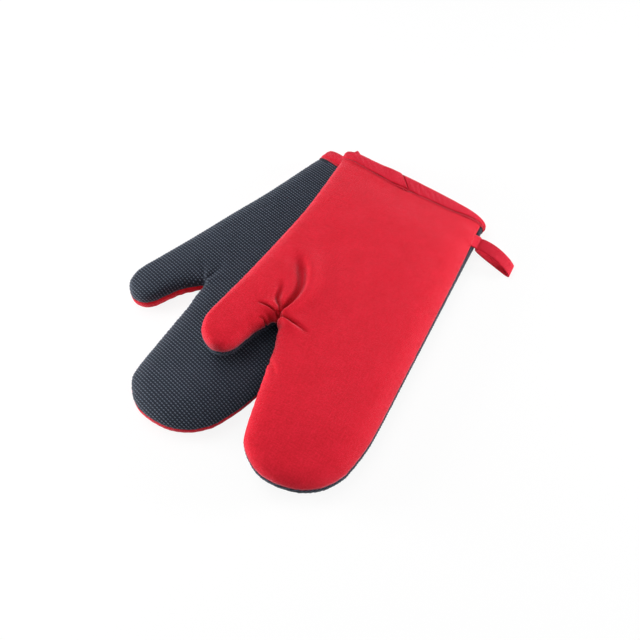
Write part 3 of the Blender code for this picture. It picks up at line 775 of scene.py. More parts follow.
def rolled(lay, half, net):
    """A half's surface with its cloth slid along the rolled edge, so that the lower half's shows beside the
    upper one, and the directions in which it faces at the seam."""
    base = half.surface(net)
    slide = seam_slide(lay, *net.points.T)
    near = np.flatnonzero((slide > 0) & (net.gap < SEAM_ROLL_REACH) & (net.share < 0.85))
    moved = base.copy()
    facing = np.zeros((net.seam, 3))
    facing[:, :2] = -net.inward[: net.seam]
    other = lay.lower if half is lay.upper else lay.upper
    for i in near:
        # A point is as far along the rolled edge as its slide takes it, and past the seam on the other half
        y = net.points[i, 1]
        far, inward, up = half.profile(net.roll[i], y)
        here = np.interp(net.gap[i], inward, far)
        there = here + half.way * slide[i] * (1 - smooth_step(here / SEAM_ROLL_REACH))
        lift, side = -np.interp(here, far, up), 1
        if there < 0:
            far, inward, up = other.profile(net.roll[i], y)
            there, side = -there, -1
        moved[i, :2] += net.inward[i] * (np.interp(there, far, inward) - net.gap[i])
        moved[i, 2] += lift + side * np.interp(there, far, up)
        if i < net.seam:
            ahead = there + 0.2 * MM
            run = np.interp(ahead, far, inward) - np.interp(there, far, inward)
            climb = np.interp(ahead, far, up) - np.interp(there, far, up)
            facing[i, :2], facing[i, 2] = -net.inward[i] * climb, run * side
    return moved, facing / np.linalg.norm(facing, axis=1)[:, None]


NETS = {}
DRAPES = {}


def nets():
    """The fine net of the panels and the plain one of the layers inside, made once."""
    if not NETS:
        cut = Cut()
        rings = [r * MM for r in (0.12, 0.4, 0.9, 1.6, 2.6, 3.9, 5.5)]
        pitches = ((0.5, 0, 0.024), (0.9, 0.024, 0.038), (1.5, 0.038, 0.062), (2.6, 0.062, 1))
        NETS["fine"] = Net(cut, 1, rings, [(pitch * MM, start, end) for pitch, start, end in pitches])
        NETS["plain"] = Net(cut, 3, [r * MM for r in (0.5, 1.4, 3.0, 5.4)], [(4.2 * MM, 0, 1)])
    return NETS["fine"], NETS["plain"]


def draped(lay, half, net):
    """The drape over a net. The layers inside lie under the lowest cloth near them."""
    fine, _ = nets()
    key = lay.side, half.way
    if key not in DRAPES:
        DRAPES[key] = drape(fine, lay, half)
    moved = DRAPES[key]
    if net is fine:
        return moved
    found = []
    for some in np.array_split(net.points, 20):
        away = np.linalg.norm(some[:, None] - fine.points[None], axis=2)
        found.append(np.where(away < 4.2 * MM, moved[None], 1).min(1))
    return np.concatenate(found) - 0.00015


def layers(lay, half, net):
    """Each layer's outer and inner surface, in the glove's own frame, before it is laid."""
    smooth, facing = rolled(lay, half, net)
    x, y = net.points.T
    moved = draped(lay, half, net) * (1 - bound(y))
    normal = net.normals(smooth, facing)
    held = seam_slide(lay, x, y) == 0
    found = {}
    for layer, (top, bottom) in half.depths(y).items():
        skins = []
        for depth, full in ((top, layer != "lining"), (bottom, layer == "panel")):
            base = smooth + normal * (moved * (1.0 if full else 0.45) - depth)[:, None]
            base[held, 2] = np.maximum(base[held, 2], RIM * 0.6)
            base[:, 2] *= half.way
            skins.append(base)
        found[layer] = skins
    return found


def make_layer(lay, half, layer, net, skins, finish, slot):
    """One layer of one half, between its two skins, as a closed piece that stands for its solid."""
    outer, inner = skins[layer]
    points, faces = shell(net, lay.world(outer), lay.world(inner), half.way)
    slide = seam_slide(lay, *net.points.T) * half.way * (1 - smooth_step(net.gap / SEAM_ROLL_REACH))
    flat = lay.gathered(half.flat(net) + net.inward * slide[:, None])
    name = f"{lay.side}_{half.name}_{layer}"
    painted_shade = np.zeros(len(flat))
    if layer == "panel":
        # Painted shade: the cloth's colour is darkened where it lies lower than what is round it, in folds
        # and puckers, most of all at the crotch
        moved = draped(lay, half, net)
        away = np.linalg.norm(net.points - CROTCH, axis=1)
        near = 0.75 - 0.45 * smooth_step((away - 0.018) / 0.008) - 0.30 * smooth_step((away - 0.035) / 0.02)
        painted_shade = near * (1 - np.exp(-np.clip(net.relax(moved, 8, 0) - moved, 0, 1) / (0.45 * MM)))
    made = new_piece(name + "_cloth", points, faces, finish, np.vstack([flat, flat]), [*painted_shade, *painted_shade * 0])
    attach(made, lay.side + "_glove", slot, name)
    return made


def grow(source, name, tree, values, finish):
    """Runs a geometry tree on an object and returns the result as a plain mesh piece."""
    modifier = source.modifiers.new("grow", "NODES")
    modifier.node_group = tree
    keys = {item.name: item.identifier for item in tree.interface.items_tree if item.in_out == "INPUT"}
    for label, value in {**values, "Finish": FINISHES[finish]}.items():
        modifier[keys[label]] = value
    seen = source.evaluated_get(bpy.context.evaluated_depsgraph_get())
    mesh = bpy.data.meshes.new_from_object(seen)
    mesh.name = name
    if not len(mesh.polygons):
        raise RuntimeError(name + " came out empty")
    source.modifiers.remove(modifier)
    bpy.data.objects.remove(source)
    return link(bpy.data.objects.new(name, mesh))


def geometry_tree(name, labels):
    """A geometry tree with numbers as its named inputs, its graph, and its inputs as values."""
    tree = bpy.data.node_groups.new(name, "GeometryNodeTree")
    kinds = {"Geometry": "Geometry", **dict.fromkeys(labels, "Float"), "Finish": "Material"}
    for label, kind in kinds.items():
        tree.interface.new_socket(label, in_out="INPUT", socket_type="NodeSocket" + kind)
    tree.interface.new_socket("Geometry", in_out="OUTPUT", socket_type="NodeSocketGeometry")
    graph = Graph(tree)
    entry = graph.node("NodeGroupInput")
    return tree, graph, {socket.name: Value(graph, socket) for socket in entry.outputs if socket.name}


def close_tree(graph, given, points, bead, turned, size):
    """Ends a tree: its bead on every point, made real, smooth and given its finish."""
    made = graph.out("GeometryNodeInstanceOnPoints", None, {
        "Points": points, "Instance": bead, "Rotation": turned, "Scale": graph.joined(*size),
    })
    made = graph.out("GeometryNodeRealizeInstances", None, {0: made})
    made = graph.out("GeometryNodeSetShadeSmooth", None, {0: made})
    made = graph.out("GeometryNodeSetMaterial", None, {"Geometry": made, "Material": given["Finish"]})
    graph.node("NodeGroupOutput", None, {0: made})


def stitch_tree():
    """Stitches of a length and thickness, a pitch apart, along a line."""
    tree, graph, given = geometry_tree("stitches", ("Pitch", "Length", "Thickness"))
    line = graph.out("GeometryNodeMeshToCurve", None, {"Mesh": given["Geometry"]})
    line = graph.out(
        "GeometryNodeResampleCurve", {"mode": "LENGTH"}, {"Curve": line, "Length": given["Pitch"]}
    )
    along = graph.out("GeometryNodeInputTangent")
    turned = graph.out("FunctionNodeAlignRotationToVector", {"axis": "X"}, {"Vector": along})
    bead = graph.out("GeometryNodeMeshUVSphere", None, {"Segments": 8, "Rings": 6, "Radius": 1.0})
    half, thick = given["Length"] * 0.5, given["Thickness"] * 0.5
    close_tree(graph, given, line, bead, turned, (half, thick, thick))
    return tree


DASH_INPUTS = ("Column Pitch", "Row Pitch", "Length", "Width", "Height", "Slant", "Turn", "Start")


def pattern_tree():
    """Raised dashes on a square grid of the flat cloth, seated on the surface that carries it."""
    tree, graph, given = geometry_tree("palm_dashes", DASH_INPUTS)
    columns, rows = given["Column Pitch"], given["Row Pitch"]
    side = UV_SIDE * 1.12
    wide, high = (side / columns).floor(), (side / rows).floor()
    grid = graph.out("GeometryNodeMeshGrid", None, {
        "Size X": (wide - 1) * columns, "Size Y": (high - 1) * rows, "Vertices X": wide, "Vertices Y": high,
    })
    place = graph.out("GeometryNodeInputPosition")
    x, y = graph.parted(graph.out(
        "ShaderNodeVectorRotate", {"rotation_type": "Z_AXIS"}, {"Vector": place, "Angle": given["Turn"]}
    ))
    x, y = x + UV_SIDE / 2, y + UV_SIDE / 2
    step = 0.0004
    ahead_x, ahead_y = x + given["Slant"].math("COSINE") * step, y + given["Slant"].math("SINE") * step

    def attribute(name, kind="FLOAT_VECTOR"):
        return graph.out("GeometryNodeInputNamedAttribute", {"data_type": kind}, {"Name": name})

    def logic(operation, *values):
        return graph.out("FunctionNodeBooleanMath", {"operation": operation}, dict(enumerate(values)))

    def sampled(value, x, y):
        """A value of the cloth at a spot of its flat coordinates, and whether there is cloth."""
        node = graph.node("GeometryNodeSampleUVSurface", {"data_type": "FLOAT_VECTOR"}, {
            "Mesh": given["Geometry"], "Value": value, 2: attribute("cloth"),
            3: graph.joined(x / UV_SIDE, y / UV_SIDE),
        })
        return Value(graph, node.outputs[0]), Value(graph, node.outputs[1])

    here, found = sampled(place, x, y)
    there, found_too = sampled(place, ahead_x, ahead_y)
    up, _ = sampled(graph.out("GeometryNodeInputNormal"), x, y)
    past = y + UV_START[1] > given["Start"]
    points = graph.out("GeometryNodeMeshToPoints", None, {"Mesh": grid})
    for name, kind, value in (
        ("seat", "FLOAT_VECTOR", here), ("way", "FLOAT_VECTOR", graph.vector("SUBTRACT", there, here)),
        ("up", "FLOAT_VECTOR", up), ("seated", "BOOLEAN", logic("AND", logic("AND", found, found_too), past)),
    ):
        points = graph.out(
            "GeometryNodeStoreNamedAttribute", {"data_type": kind, "domain": "POINT"},
            {"Geometry": points, "Name": name, "Value": value},
        )
    missed = logic("NOT", attribute("seated", "BOOLEAN"))
    points = graph.out(
        "GeometryNodeDeleteGeometry", {"domain": "POINT"}, {"Geometry": points, "Selection": missed}
    )
    points = graph.out("GeometryNodeSetPosition", None, {"Geometry": points, "Position": attribute("seat")})
    turned = graph.out("FunctionNodeAlignRotationToVector", {"axis": "X"}, {"Vector": attribute("way")})
    turned = graph.out(
        "FunctionNodeAlignRotationToVector", {"axis": "Z", "pivot_axis": "X"},
        {"Rotation": turned, "Vector": attribute("up")},
    )
    bead = graph.out("GeometryNodeMeshUVSphere", None, {"Segments": 6, "Rings": 3, "Radius": 1.07})
    size = (given["Length"] * 0.5, given["Width"] * 0.5, given["Height"])
    close_tree(graph, given, points, bead, turned, size)
    return tree


def sew(name, lines, tree, pitch, length, thickness, body, *nodes):
    """Rows of stitches along lines, as one piece."""
    points, faces, start = [], [], 0
    for line in lines:
        mesh = bpy.data.meshes.new("line")
        mesh.from_pydata(np.asarray(line).tolist(), [(i, i + 1) for i in range(len(line) - 1)], [])
        values = {"Pitch": pitch, "Length": length, "Thickness": thickness}
        row = grow(link(bpy.data.objects.new("line", mesh)), name, tree, values, "thread")
        own = np.empty(len(row.data.vertices) * 3)
        row.data.vertices.foreach_get("co", own)
        points.append(own.reshape(-1, 3))
        faces += [tuple(start + v for v in face.vertices) for face in row.data.polygons]
        start += len(row.data.vertices)
        bpy.data.objects.remove(row)
    return attach(new_piece(name, np.vstack(points), faces, "thread"), body, "red_thread", *nodes)


def make_tape(name, points, faces, flat, body, node, painted_shade=None):
    """A closed piece of tape that stands for its solid, with its faces turned outwards."""
    made = new_piece(name, points, faces, "tape", flat, painted_shade)
    work = bmesh.new()
    work.from_mesh(made.data)
    bmesh.ops.recalc_face_normals(work, faces=work.faces)
    work.to_mesh(made.data)
    work.free()
    attach(made, body, "red_tape", node)


# Where the photograph's front binding ends on the upper half: its depth less the solids', by places across
# the cuff
FRONT_EDGE = (
    (-0.0718, -0.0072), (-0.066, -0.0066), (-0.052, -0.0036), (-0.0366, -0.0006), (0.001, 0.0019),
    (0.014, 0.0019), (0.045, -0.0002), (0.0635, -0.0022), (0.0718, -0.0026),
)
# The binding's profile: share from the outer face (0) to the inner one (1), height over that face and
# distance from the cuff's edge in millimetres. Its first row and its last ones are the tape's underside.
UNDERSIDE = 0.30
TAPE_PROFILE = (
    (0, UNDERSIDE, 13.30), (0, 0.50, 13.48), (0, 0.72, 13.42), (0, 0.84, 13.1), (0, 0.78, 12.75),
    (0, 0.44, 12.35), (0, 0.08, 12.1), (0, 0.02, 11.75), (0, 0.16, 11.5), (0, 0.80, 11.2), (0, 1.15, 10.5),
    (0, 1.32, 9.2), (0, 1.46, 7.4), (0, 1.52, 5.0), (0, 1.44, 2.8), (0, 1.28, 1.0), (0, 0.95, -0.2),
    (0, 0.35, -0.95), (0.3, 0, -1.3), (0.7, 0, -1.3), (1, -0.35, -0.95), (1, -0.95, -0.2), (1, -1.25, 1.2),
    (1, -1.30, 6.0), (1, -1.15, 10.6), (1, -0.95, 11.5), (1, -0.60, 11.95), (1, -0.32, 11.7), (1, -0.30, 6.0),
    (1, -0.30, 0.2), (0.5, 0.0, -0.15), (0, UNDERSIDE, 0.2), (0, UNDERSIDE, 2.0),
)
PROFILE_PITCH = 0.6
GROOVE = 11.8 * MM  # where its stitches run
EDGE_REACH = 10.2 * MM  # from where on it follows its edge
BINDING_SEEDS = {"left": 31, "right": 37}


class CuffRing:
    """Stations round the cuff, at which any depth under the panels gives a closed curve."""

    def __init__(self, lay):
        self.stations = []
        bends = np.sin(np.linspace(0, math.pi / 2, 24))
        ends = HALF_WIDTH - HAND_ROLL
        for half in (lay.upper, lay.lower):
            spots = [(1, s, None) for s in bends]
            spots += [(0, 1, x) for x in np.linspace(ends, -ends, 260)[1:-1]]
            spots += [(-1, s, None) for s in bends[::-1]]
            self.stations += [(half, *spot) for spot in spots[:: half.way]]
        self.count = len(self.stations)
        wall = {half.way: half.wall() for half in (lay.upper, lay.lower)}
        self.wall = np.array([wall[station[0].way] for station in self.stations])
        middle = self.curve(-GAP - TAPE)
        self.far = lengths(middle)
        self.upper = np.array([station[0].way > 0 for station in self.stations])
        self.across = middle[:, 0]
        self.edge = np.zeros(self.count)
        if lay.side == "left":
            x, moved = np.array(FRONT_EDGE).T
            under = 1 - smooth_step((HALF_WIDTH - np.abs(self.across)) / 0.02)
            self.edge = np.interp(self.across, x, moved) * np.where(self.upper, 1, under)

    def curve(self, depth):
        """x and z at a depth for each station, under the panel's outer surface inside the binding."""
        found = []
        depth = np.broadcast_to(depth, self.count)
        for (half, side, share, x), deep in zip(self.stations, depth):
            if side:
                angle = share * math.pi / 2
                run = 1 - max(math.cos(angle), 0) ** (2 / half.power)
                up = math.sin(angle) ** (2 / half.power)
                x, dome = side * (HALF_WIDTH - deep - (HAND_ROLL - deep) * run), 0
            else:
                inside_roll = HALF_WIDTH - HAND_ROLL - abs(x)
                up, dome = 1, half.swell * (1 - math.exp(-inside_roll / SWELL_REACH))
            found.append((x, half.way * (RIM + (half.top(0.0) - deep - RIM) * up + dome)))
        return np.array(found)

    def moved(self, y):
        """A distance from the cuff's edge, moved with the tape's edge."""
        stretched = y * (EDGE_REACH + self.edge) / EDGE_REACH
        return np.where(y > EDGE_REACH, y + self.edge, np.where(y > 0, stretched, y))


def make_binding(lay, tree):
    """The tape folded over the cuff, its lapped end and its row of stitches."""
    given = bpy.context.scene.glove_binding
    ring = CuffRing(lay)
    far = ring.far

    def uneven(size, step):
        return ripples(far[:, None], size, BINDING_SEEDS[lay.side] + step)

    wave = uneven(0.026, 0) * 0.5 * MM + uneven(0.009, 5) * 0.2 * MM
    drawn = np.abs(np.sin(far / given.stitch_pitch * math.pi)) * 0.14 * MM
    amount = 0.5 + 0.5 * uneven(0.035, 2)
    lap_at = np.interp(-given.lap, -ring.across[ring.upper], far[ring.upper])
    # How strongly the painted shade of the groove and the tape's edge is laid on, weaker towards the thumb's
    # side
    painted_shade_strength = np.clip(0.75 + 0.6 * uneven(0.012, 7), 0.15, 1)
    painted_shade_strength = painted_shade_strength * (0.35 + 0.65 * smooth_step((0.052 - ring.across) / 0.02))
    profile = [TAPE_PROFILE[0]]  # with rows added down the outer face, so that the lap's slit is smooth
    for start, end in zip(TAPE_PROFILE, TAPE_PROFILE[1:]):
        drop = start[2] - end[2]
        parts = max(1, round(drop / PROFILE_PITCH)) if end[0] == start[0] == 0 and drop > 0 else 1
        profile += [tuple(np.array(start) + (np.array(end) - start) * (k + 1) / parts) for k in range(parts)]
    sections, painted_shade = [], []
    for share, over, y in profile:
        y = y * MM
        outer = share == 0 and over not in (UNDERSIDE, 0.0)
        outside = outer or over == 0
        on_face = outer * smooth_step(y / 0.003) * (y < 0.0132)
        # The tape's end lies over its start: a step that fades away behind it, and a slit along it
        past_lap = lap_at - far - given.lap_slant * y
        lap = smooth_step(past_lap / (0.7 * MM)) * (1 - smooth_step((past_lap - 0.008) / 0.014)) * outside
        slit = np.exp(-((past_lap / (0.65 * MM)) ** 2)) * outer * (y < 0.0112) * ring.upper
        twist = np.sin((far + given.lap_slant * y + wave * 9) / (7.4 * MM) * 2 * math.pi) * amount * 0.22 * MM
        groove = math.exp(-(((y - GROOVE) / 0.0008) ** 2))
        depth = share * ring.wall - over * MM - lap * given.lap_rise + slit * 1.15 * MM
        depth = depth - on_face * twist * (1 - groove) + on_face * groove * drawn
        curve = ring.curve(depth)
        place = ring.moved(np.full(ring.count, y)) + wave * (1 if y > 0.009 else 0.35 if outer else 0)
        if y < 0.0015:
            # At the cuff's edge the front tape's fold sticks out on the thumb's side
            nib = np.exp(-(((ring.across - given.nib) / (1.5 * MM)) ** 2)) * ring.upper
            place = place - nib * (lay.side == "left") * outside * 3.4 * MM - lap * 0.3 * MM * (over == 0)
        sections.append(np.column_stack([curve[:, 0], place, curve[:, 1]]))
        # Painted shade: darker colour along the stitch groove, on the tape's underside at its edge, and in
        # the lap's slit
        line = math.exp(-(((y - GROOVE) / 0.0005) ** 2)) + 0.8 * (over == UNDERSIDE)
        painted_shade.append(np.maximum(line * painted_shade_strength * (share == 0), slit * 0.9))
    flat = np.array([(here - 0.155, i * 1.2 * MM) for i in range(len(profile)) for here in far])
    points, faces = lay.world(np.vstack(sections)), ring_faces(len(profile), ring.count)
    body = lay.side + "_glove"
    make_tape(
        lay.side + "_cuff_tape", points, faces, flat, body, lay.side + "_cuff_binding",
        np.concatenate(painted_shade),
    )
    curve = ring.curve(-0.10 * MM - given.thread * 0.30 + drawn * 0.4)
    line = np.column_stack([curve[:, 0], ring.moved(np.full(ring.count, GROOVE)) + wave, curve[:, 1]])
    rows = [lay.world(np.vstack([line, line[:1]]))]
    pitch = given.stitch_pitch
    sew(lay.side + "_cuff_stitches", rows, tree, pitch, pitch * 0.84, given.thread, body)


# The two hanging loops: opening, drop of the tip and lean towards the cuff, as in the solids
LOOPS = {"left": (0.0095, 0.0034, math.radians(16)), "right": (0.0040, 0.0027, math.radians(60))}
# In the photograph the free loop is a little shorter, stands further out, and its nose is lifted
LOOP_SHORT, LOOP_OUT, LOOP_LIFT = 0.92, 0.0018, 1.2 * MM
# The tape's section in shares of half its width and thickness, for the free part and for the sewn ends
LOOP_ROW = 0.74
LOOP_PROFILE = (
    (-0.98, 0.0), (-0.94, 0.75), (-0.86, 1.0), (-LOOP_ROW, 0.72), (-0.5, 0.98), (0.0, 1.06), (0.5, 0.98),
    (LOOP_ROW, 0.72), (0.86, 1.0), (0.94, 0.75), (0.98, 0.0), (0.94, -0.75), (0.86, -1.0), (0.5, -0.96),
    (0, -1.0), (-0.5, -0.96), (-0.86, -1.0), (-0.94, -0.75),
)
ENDS_PROFILE = (
    (-1, -0.5), (-0.985, -1), (-0.74, -0.8), (-0.5, -1), (0, -1.04), (0.5, -1), (0.74, -0.8), (0.985, -1),
    (1, -0.5), (1, 0.5), (0.985, 1), (0.74, 0.8), (0.5, 1), (0, 1.04), (-0.5, 1), (-0.74, 0.8), (-0.985, 1),
    (-1, 0.5),
)


def make_loop(lay, tree):
    """The free part of the tape loop with its stitched edges."""
    opening, drop, lean = LOOPS[lay.side]
    reach = LOOP_REACH * math.cos(lean)
    nose = opening**2 / reach / 2 + LOOP_THICKNESS / 2
    steps = 72
    angles = np.linspace(0, 2 * math.pi, steps, endpoint=False)
    run = (1 - np.cos(angles)) / 2
    lifted = LOOP_LIFT if seam_slide(lay, -HALF_WIDTH, LOOP_HEIGHT) else 0
    lift = lifted * np.clip(1 - run / 0.35, 0, 1) ** 2
    path = np.stack([-LOOP_SHORT * reach * run, opening / 2 * np.sin(angles) - drop * run**2 + lift], axis=1)
    along = np.roll(path, -1, axis=0) - np.roll(path, 1, axis=0)
    normal = np.stack([-along[:, 1], along[:, 0]], axis=1)
    normal /= np.linalg.norm(normal, axis=1)[:, None]
    drift = LOOP_REACH * math.sin(lean) * run**1.5
    wave = ripples(np.stack([run, np.sin(angles)], axis=1) * 0.04, 0.012, 51) * 0.16 * MM
    edges = [(-HALF_WIDTH - LOOP_OUT - nose, LOOP_HEIGHT + k * LOOP_WIDTH / 2, 0) for k in (-1, 0, 1)]
    first, middle, last = lay.world(edges)
    turn = turned(math.atan2(first[0] - last[0], last[1] - first[1]))
    half = LOOP_THICKNESS / 2

    def strand(side, off, wavy, kept=slice(None)):
        """One line of the tape all round the loop, at shares of its half width and half thickness."""
        p, n = path[kept].T, normal[kept].T
        x = p[0] + n[0] * off * half + nose - half
        y = drift[kept] + side * LOOP_WIDTH / 2
        z = p[1] + n[1] * off * half + wave[kept] * wavy
        return np.column_stack([np.column_stack([x, y]) @ turn, z]) + middle

    sections = np.stack([strand(side, off, abs(side)) for side, off in LOOP_PROFILE], axis=1)
    tape = np.linalg.norm(along, axis=1).cumsum() / 2
    flat = np.array([
        (here, side * LOOP_WIDTH / 2 + 0.05 * (k > 9))
        for here in tape for k, (side, _) in enumerate(LOOP_PROFILE)
    ])
    body = lay.side + "_loop"
    faces = ring_faces(steps, len(LOOP_PROFILE))
    make_tape(body + "_tape", sections.reshape(-1, 3), faces, flat, body, lay.side + "_hanging_loop")
    rows = [strand(side, 0.86, 0.7, slice(2, -2)) for side in (-LOOP_ROW, LOOP_ROW)]
    given = bpy.context.scene.glove_binding
    pitch = given.stitch_pitch
    sew(body + "_stitches", rows, tree, pitch, pitch * 0.8, given.thread * 0.8, body)


def make_loop_ends(lay):
    """The loop's two ends, laid on each other in the seam. On a rolled seam they bend down round its edge."""
    slide = seam_slide(lay, -HALF_WIDTH, LOOP_HEIGHT)
    if slide:
        far, inward, up = lay.upper.profile(HAND_ROLL, LOOP_HEIGHT)
        x, z = np.interp(slide, far, inward) / MM, np.interp(slide, far, up) / MM
        route = np.array([
            (9, z), (x + 3.5, z + 0.1), (x + 1.4, z + 0.2), (x - 0.2, z + 0.1), (x * 0.5 - 0.9, z * 0.86),
            (-1.5, z * 0.72), (-2.3, z * 0.59), (-3.1, z * 0.48),
        ]) * MM
    else:
        route = np.array([
            (9.0, 0.4), (5.0, 0.5), (2.0, 0.4), (0.4, 0.1), (-0.25, -0.05), (-0.6, -0.1), (-0.75, -0.1),
        ]) * MM
    count = 25
    spots = np.linspace(0, len(route) - 1, count)
    route = np.array([np.interp(spots, range(len(route)), side) for side in route.T]).T
    step = np.gradient(route, axis=0)
    step /= np.linalg.norm(step, axis=1)[:, None]
    thick = np.linspace(0.95, 0.55, count) * LOOP_THICKNESS
    skews = smooth_step((route[:, 0] + 0.0020) / 0.0075) * (0.0034 if slide else 0)
    points = [
        (x - HALF_WIDTH - s[1] * b * k, LOOP_HEIGHT + a * LOOP_WIDTH / 2 + skew, z + s[0] * b * k)
        for (x, z), s, k, skew in zip(route, step, thick, skews) for a, b in ENDS_PROFILE
    ]
    sides = len(ENDS_PROFILE)
    faces = ring_faces(count, sides, closed=False)
    faces += [tuple(range(sides)), tuple((count - 1) * sides + j for j in range(sides))]
    flat = np.array([(k * 0.4 * MM, a * LOOP_WIDTH / 2) for k in range(count) for a, b in ENDS_PROFILE])
    make_tape(
        lay.side + "_loop_ends", lay.world(points), faces, flat, lay.side + "_glove",
        lay.side + "_loop_anchor",
    )


def make_seam(lay, tree):
    """The row of stitches that joins the two halves round the hand."""
    fine, _ = nets()
    base, facing = rolled(lay, lay.upper, fine)
    line = base[: fine.seam] - facing * 0.5 * MM
    line[:, 2] -= np.where(facing[:, 2] > 0, 0, RIM)
    x, y = fine.points[: fine.seam].T
    line = line[(x > 0) | (y > LOOP_HEIGHT + LOOP_WIDTH / 2 + MOUTH_FADE)]
    pitch = bpy.context.scene.glove_binding.stitch_pitch
    sew(
        lay.side + "_seam_stitches", [lay.world(line)], tree, pitch, pitch * 0.85, 0.36 * MM,
        lay.side + "_glove", lay.side + "_seam_thread",
    )


def colour(name, description, default):
    return bpy.props.FloatVectorProperty(
        name=name, description=description, subtype="COLOR", size=3, default=default
    )


def length(name, description, default, **limits):
    return bpy.props.FloatProperty(
        name=name, description=description, subtype="DISTANCE", unit="LENGTH", default=default, **limits
    )


def angle(name, description, degrees):
    return bpy.props.FloatProperty(
        name=name, description=description, subtype="ANGLE", unit="ROTATION", default=math.radians(degrees)
    )


def number(name, description, default, **more):
    return bpy.props.FloatProperty(name=name, description=description, default=default, **more)


class GloveCloth(bpy.types.PropertyGroup):
    """Colours and threads of the cloth."""

    red: colour("Red cotton", "Colour of the backs", (0.66, 0.010, 0.024))
    tape_red: colour("Red tape", "Colour of the bindings and the loops", (0.62, 0.012, 0.030))
    charcoal: colour("Charcoal knit", "Colour of the palms", (0.0150, 0.0193, 0.0315))
    dash_grey: colour("Dashes", "Colour of the raised dashes of the palms", (0.088, 0.110, 0.150))
    lining_grey: colour("Lining", "Colour of the lining", (0.34, 0.34, 0.35))
    wadding_white: colour("Wadding", "Colour of the wadding", (0.78, 0.76, 0.71))
    # Darker than the tape: partly the thread's own colour, partly painted shade of the stitch grooves and
    # needle holes
    thread_red_and_painted_shade: colour("Thread", "Colour of the sewing thread", (0.30, 0.008, 0.018))
    thread_pitch: length(
        "Thread pitch", "Distance between neighbouring threads of the cotton", 0.00055, min=0.0002
    )


class GlovePadding(bpy.types.PropertyGroup):
    """How the padded cloth lies."""

    fold_depth: number("Folds", "Depth of the folds, as a share of the photograph's", 1.0, min=0, max=1.3)
    pucker: number("Pucker", "Depth of the small notches along the fingers' seam", 1.0, min=0, max=1.5)
    fill: number("Fill", "How full the padding is, from flat to tight", 0.6, min=0, max=1)


class GlovePattern(bpy.types.PropertyGroup):
    """The raised dashes of the palms."""

    column_pitch: length("Column pitch", "Distance between dashes of one row", 0.00258, min=0.0015)
    row_pitch: length("Row pitch", "Distance between rows", 0.00262, min=0.0015)
    length: length("Length", "Length of a dash", 0.0022, min=0.0005)
    width: length("Width", "Width of a dash", 0.00105, min=0.0002)
    height: length("Height", "How far a dash stands out", 0.00030, min=0.0001)
    slant: angle("Slant", "Angle of the dashes from the glove's width", 4)
    turn: angle("Turn", "How far the cloth is cut off its grain", -4)
    start: length("Start", "Distance from the cuff's edge to the first row", 0.0150, min=0)


class GloveBinding(bpy.types.PropertyGroup):
    """The cuff bindings and all topstitching."""

    stitch_pitch: length("Stitch pitch", "Distance from one stitch to the next", 0.0027, min=0.001)
    thread: length("Thread", "Thickness of the topstitching thread", 0.00062, min=0.0001)
    nib: length("Nib", "Where across the cuff the tape's fold sticks out", 0.062)
    lap: length("Lap", "Where across the cuff the tape's end lies over its start", 0.0138)
    lap_slant: number("Lap slant", "How far the lapped end leans as the tape is bias-cut", -1.04)
    lap_rise: length("Lap rise", "How far the lapped end stands up", 0.0011, min=0)


class GloveStage(bpy.types.PropertyGroup):
    """Lights of the stage."""

    key: number("Key light", "Power of the soft light over the gloves", 6.1, min=0, unit="POWER")
    fill: number("Fill light", "Power of the wide light from the front", 2.0, min=0, unit="POWER")
    left: number("Left light", "Power of the low light on the thumbs' side", 13.5, min=0, unit="POWER")
    right: number("Right light", "Power of the low light on the loop's side", 13.0, min=0, unit="POWER")
    air: number("Air", "Brightness of the light from all sides", 0.28, min=0)


LAYS = {side: Lay(side) for side in ("left", "right")}


class GLOVES_OT_backs(bpy.types.Operator):
    """Adds the red cotton back of each glove, puffed, folded and puckered"""

    bl_idname = "gloves.backs"
    bl_label = "Back panels"

    def execute(self, context):
        fine, _ = nets()
        for lay in LAYS.values():
            half = lay.half("back")
            make_layer(lay, half, "panel", fine, layers(lay, half, fine), "red", "red_cotton")
        return {"FINISHED"}


class GLOVES_OT_palms(bpy.types.Operator):
    """Adds the charcoal palm of each glove with its raised dashes"""

    bl_idname = "gloves.palms"
    bl_label = "Palm panels"

    def execute(self, context):
        fine, _ = nets()
        given = context.scene.glove_pattern
        values = {name: getattr(given, name.lower().replace(" ", "_")) for name in DASH_INPUTS}
        tree = pattern_tree()
        for lay in LAYS.values():
            half = lay.half("palm")
            panel = make_layer(lay, half, "panel", fine, layers(lay, half, fine), "palm", "charcoal_neoprene")
            carrier = link(bpy.data.objects.new("carrier", panel.data.copy()))
            work = bmesh.new()
            work.from_mesh(carrier.data)
            work.faces.ensure_lookup_table()
            bmesh.ops.delete(work, geom=work.faces[len(fine.faces):], context="FACES")
            work.to_mesh(carrier.data)
            work.free()
            made = grow(carrier, lay.side + "_palm_dashes", tree, values, "dash")
            attach(made, lay.side + "_glove", "charcoal_neoprene")
        return {"FINISHED"}


class GLOVES_OT_padding(bpy.types.Operator):
    """Adds the wadding and the lining of both halves of each glove"""

    bl_idname = "gloves.padding"
    bl_label = "Padding and linings"

    def execute(self, context):
        _, plain = nets()
        for lay in LAYS.values():
            for half in (lay.upper, lay.lower):
                skins = layers(lay, half, plain)
                make_layer(lay, half, "wadding", plain, skins, "wadding", "white_wadding")
                make_layer(lay, half, "lining", plain, skins, "lining", "grey_lining")
        return {"FINISHED"}


class GLOVES_OT_bindings(bpy.types.Operator):
    """Adds the tape folded over each cuff, with its lapped end and its stitches"""

    bl_idname = "gloves.bindings"
    bl_label = "Cuff bindings"

    def execute(self, context):
        tree = stitch_tree()
        for lay in LAYS.values():
            make_binding(lay, tree)
        return {"FINISHED"}


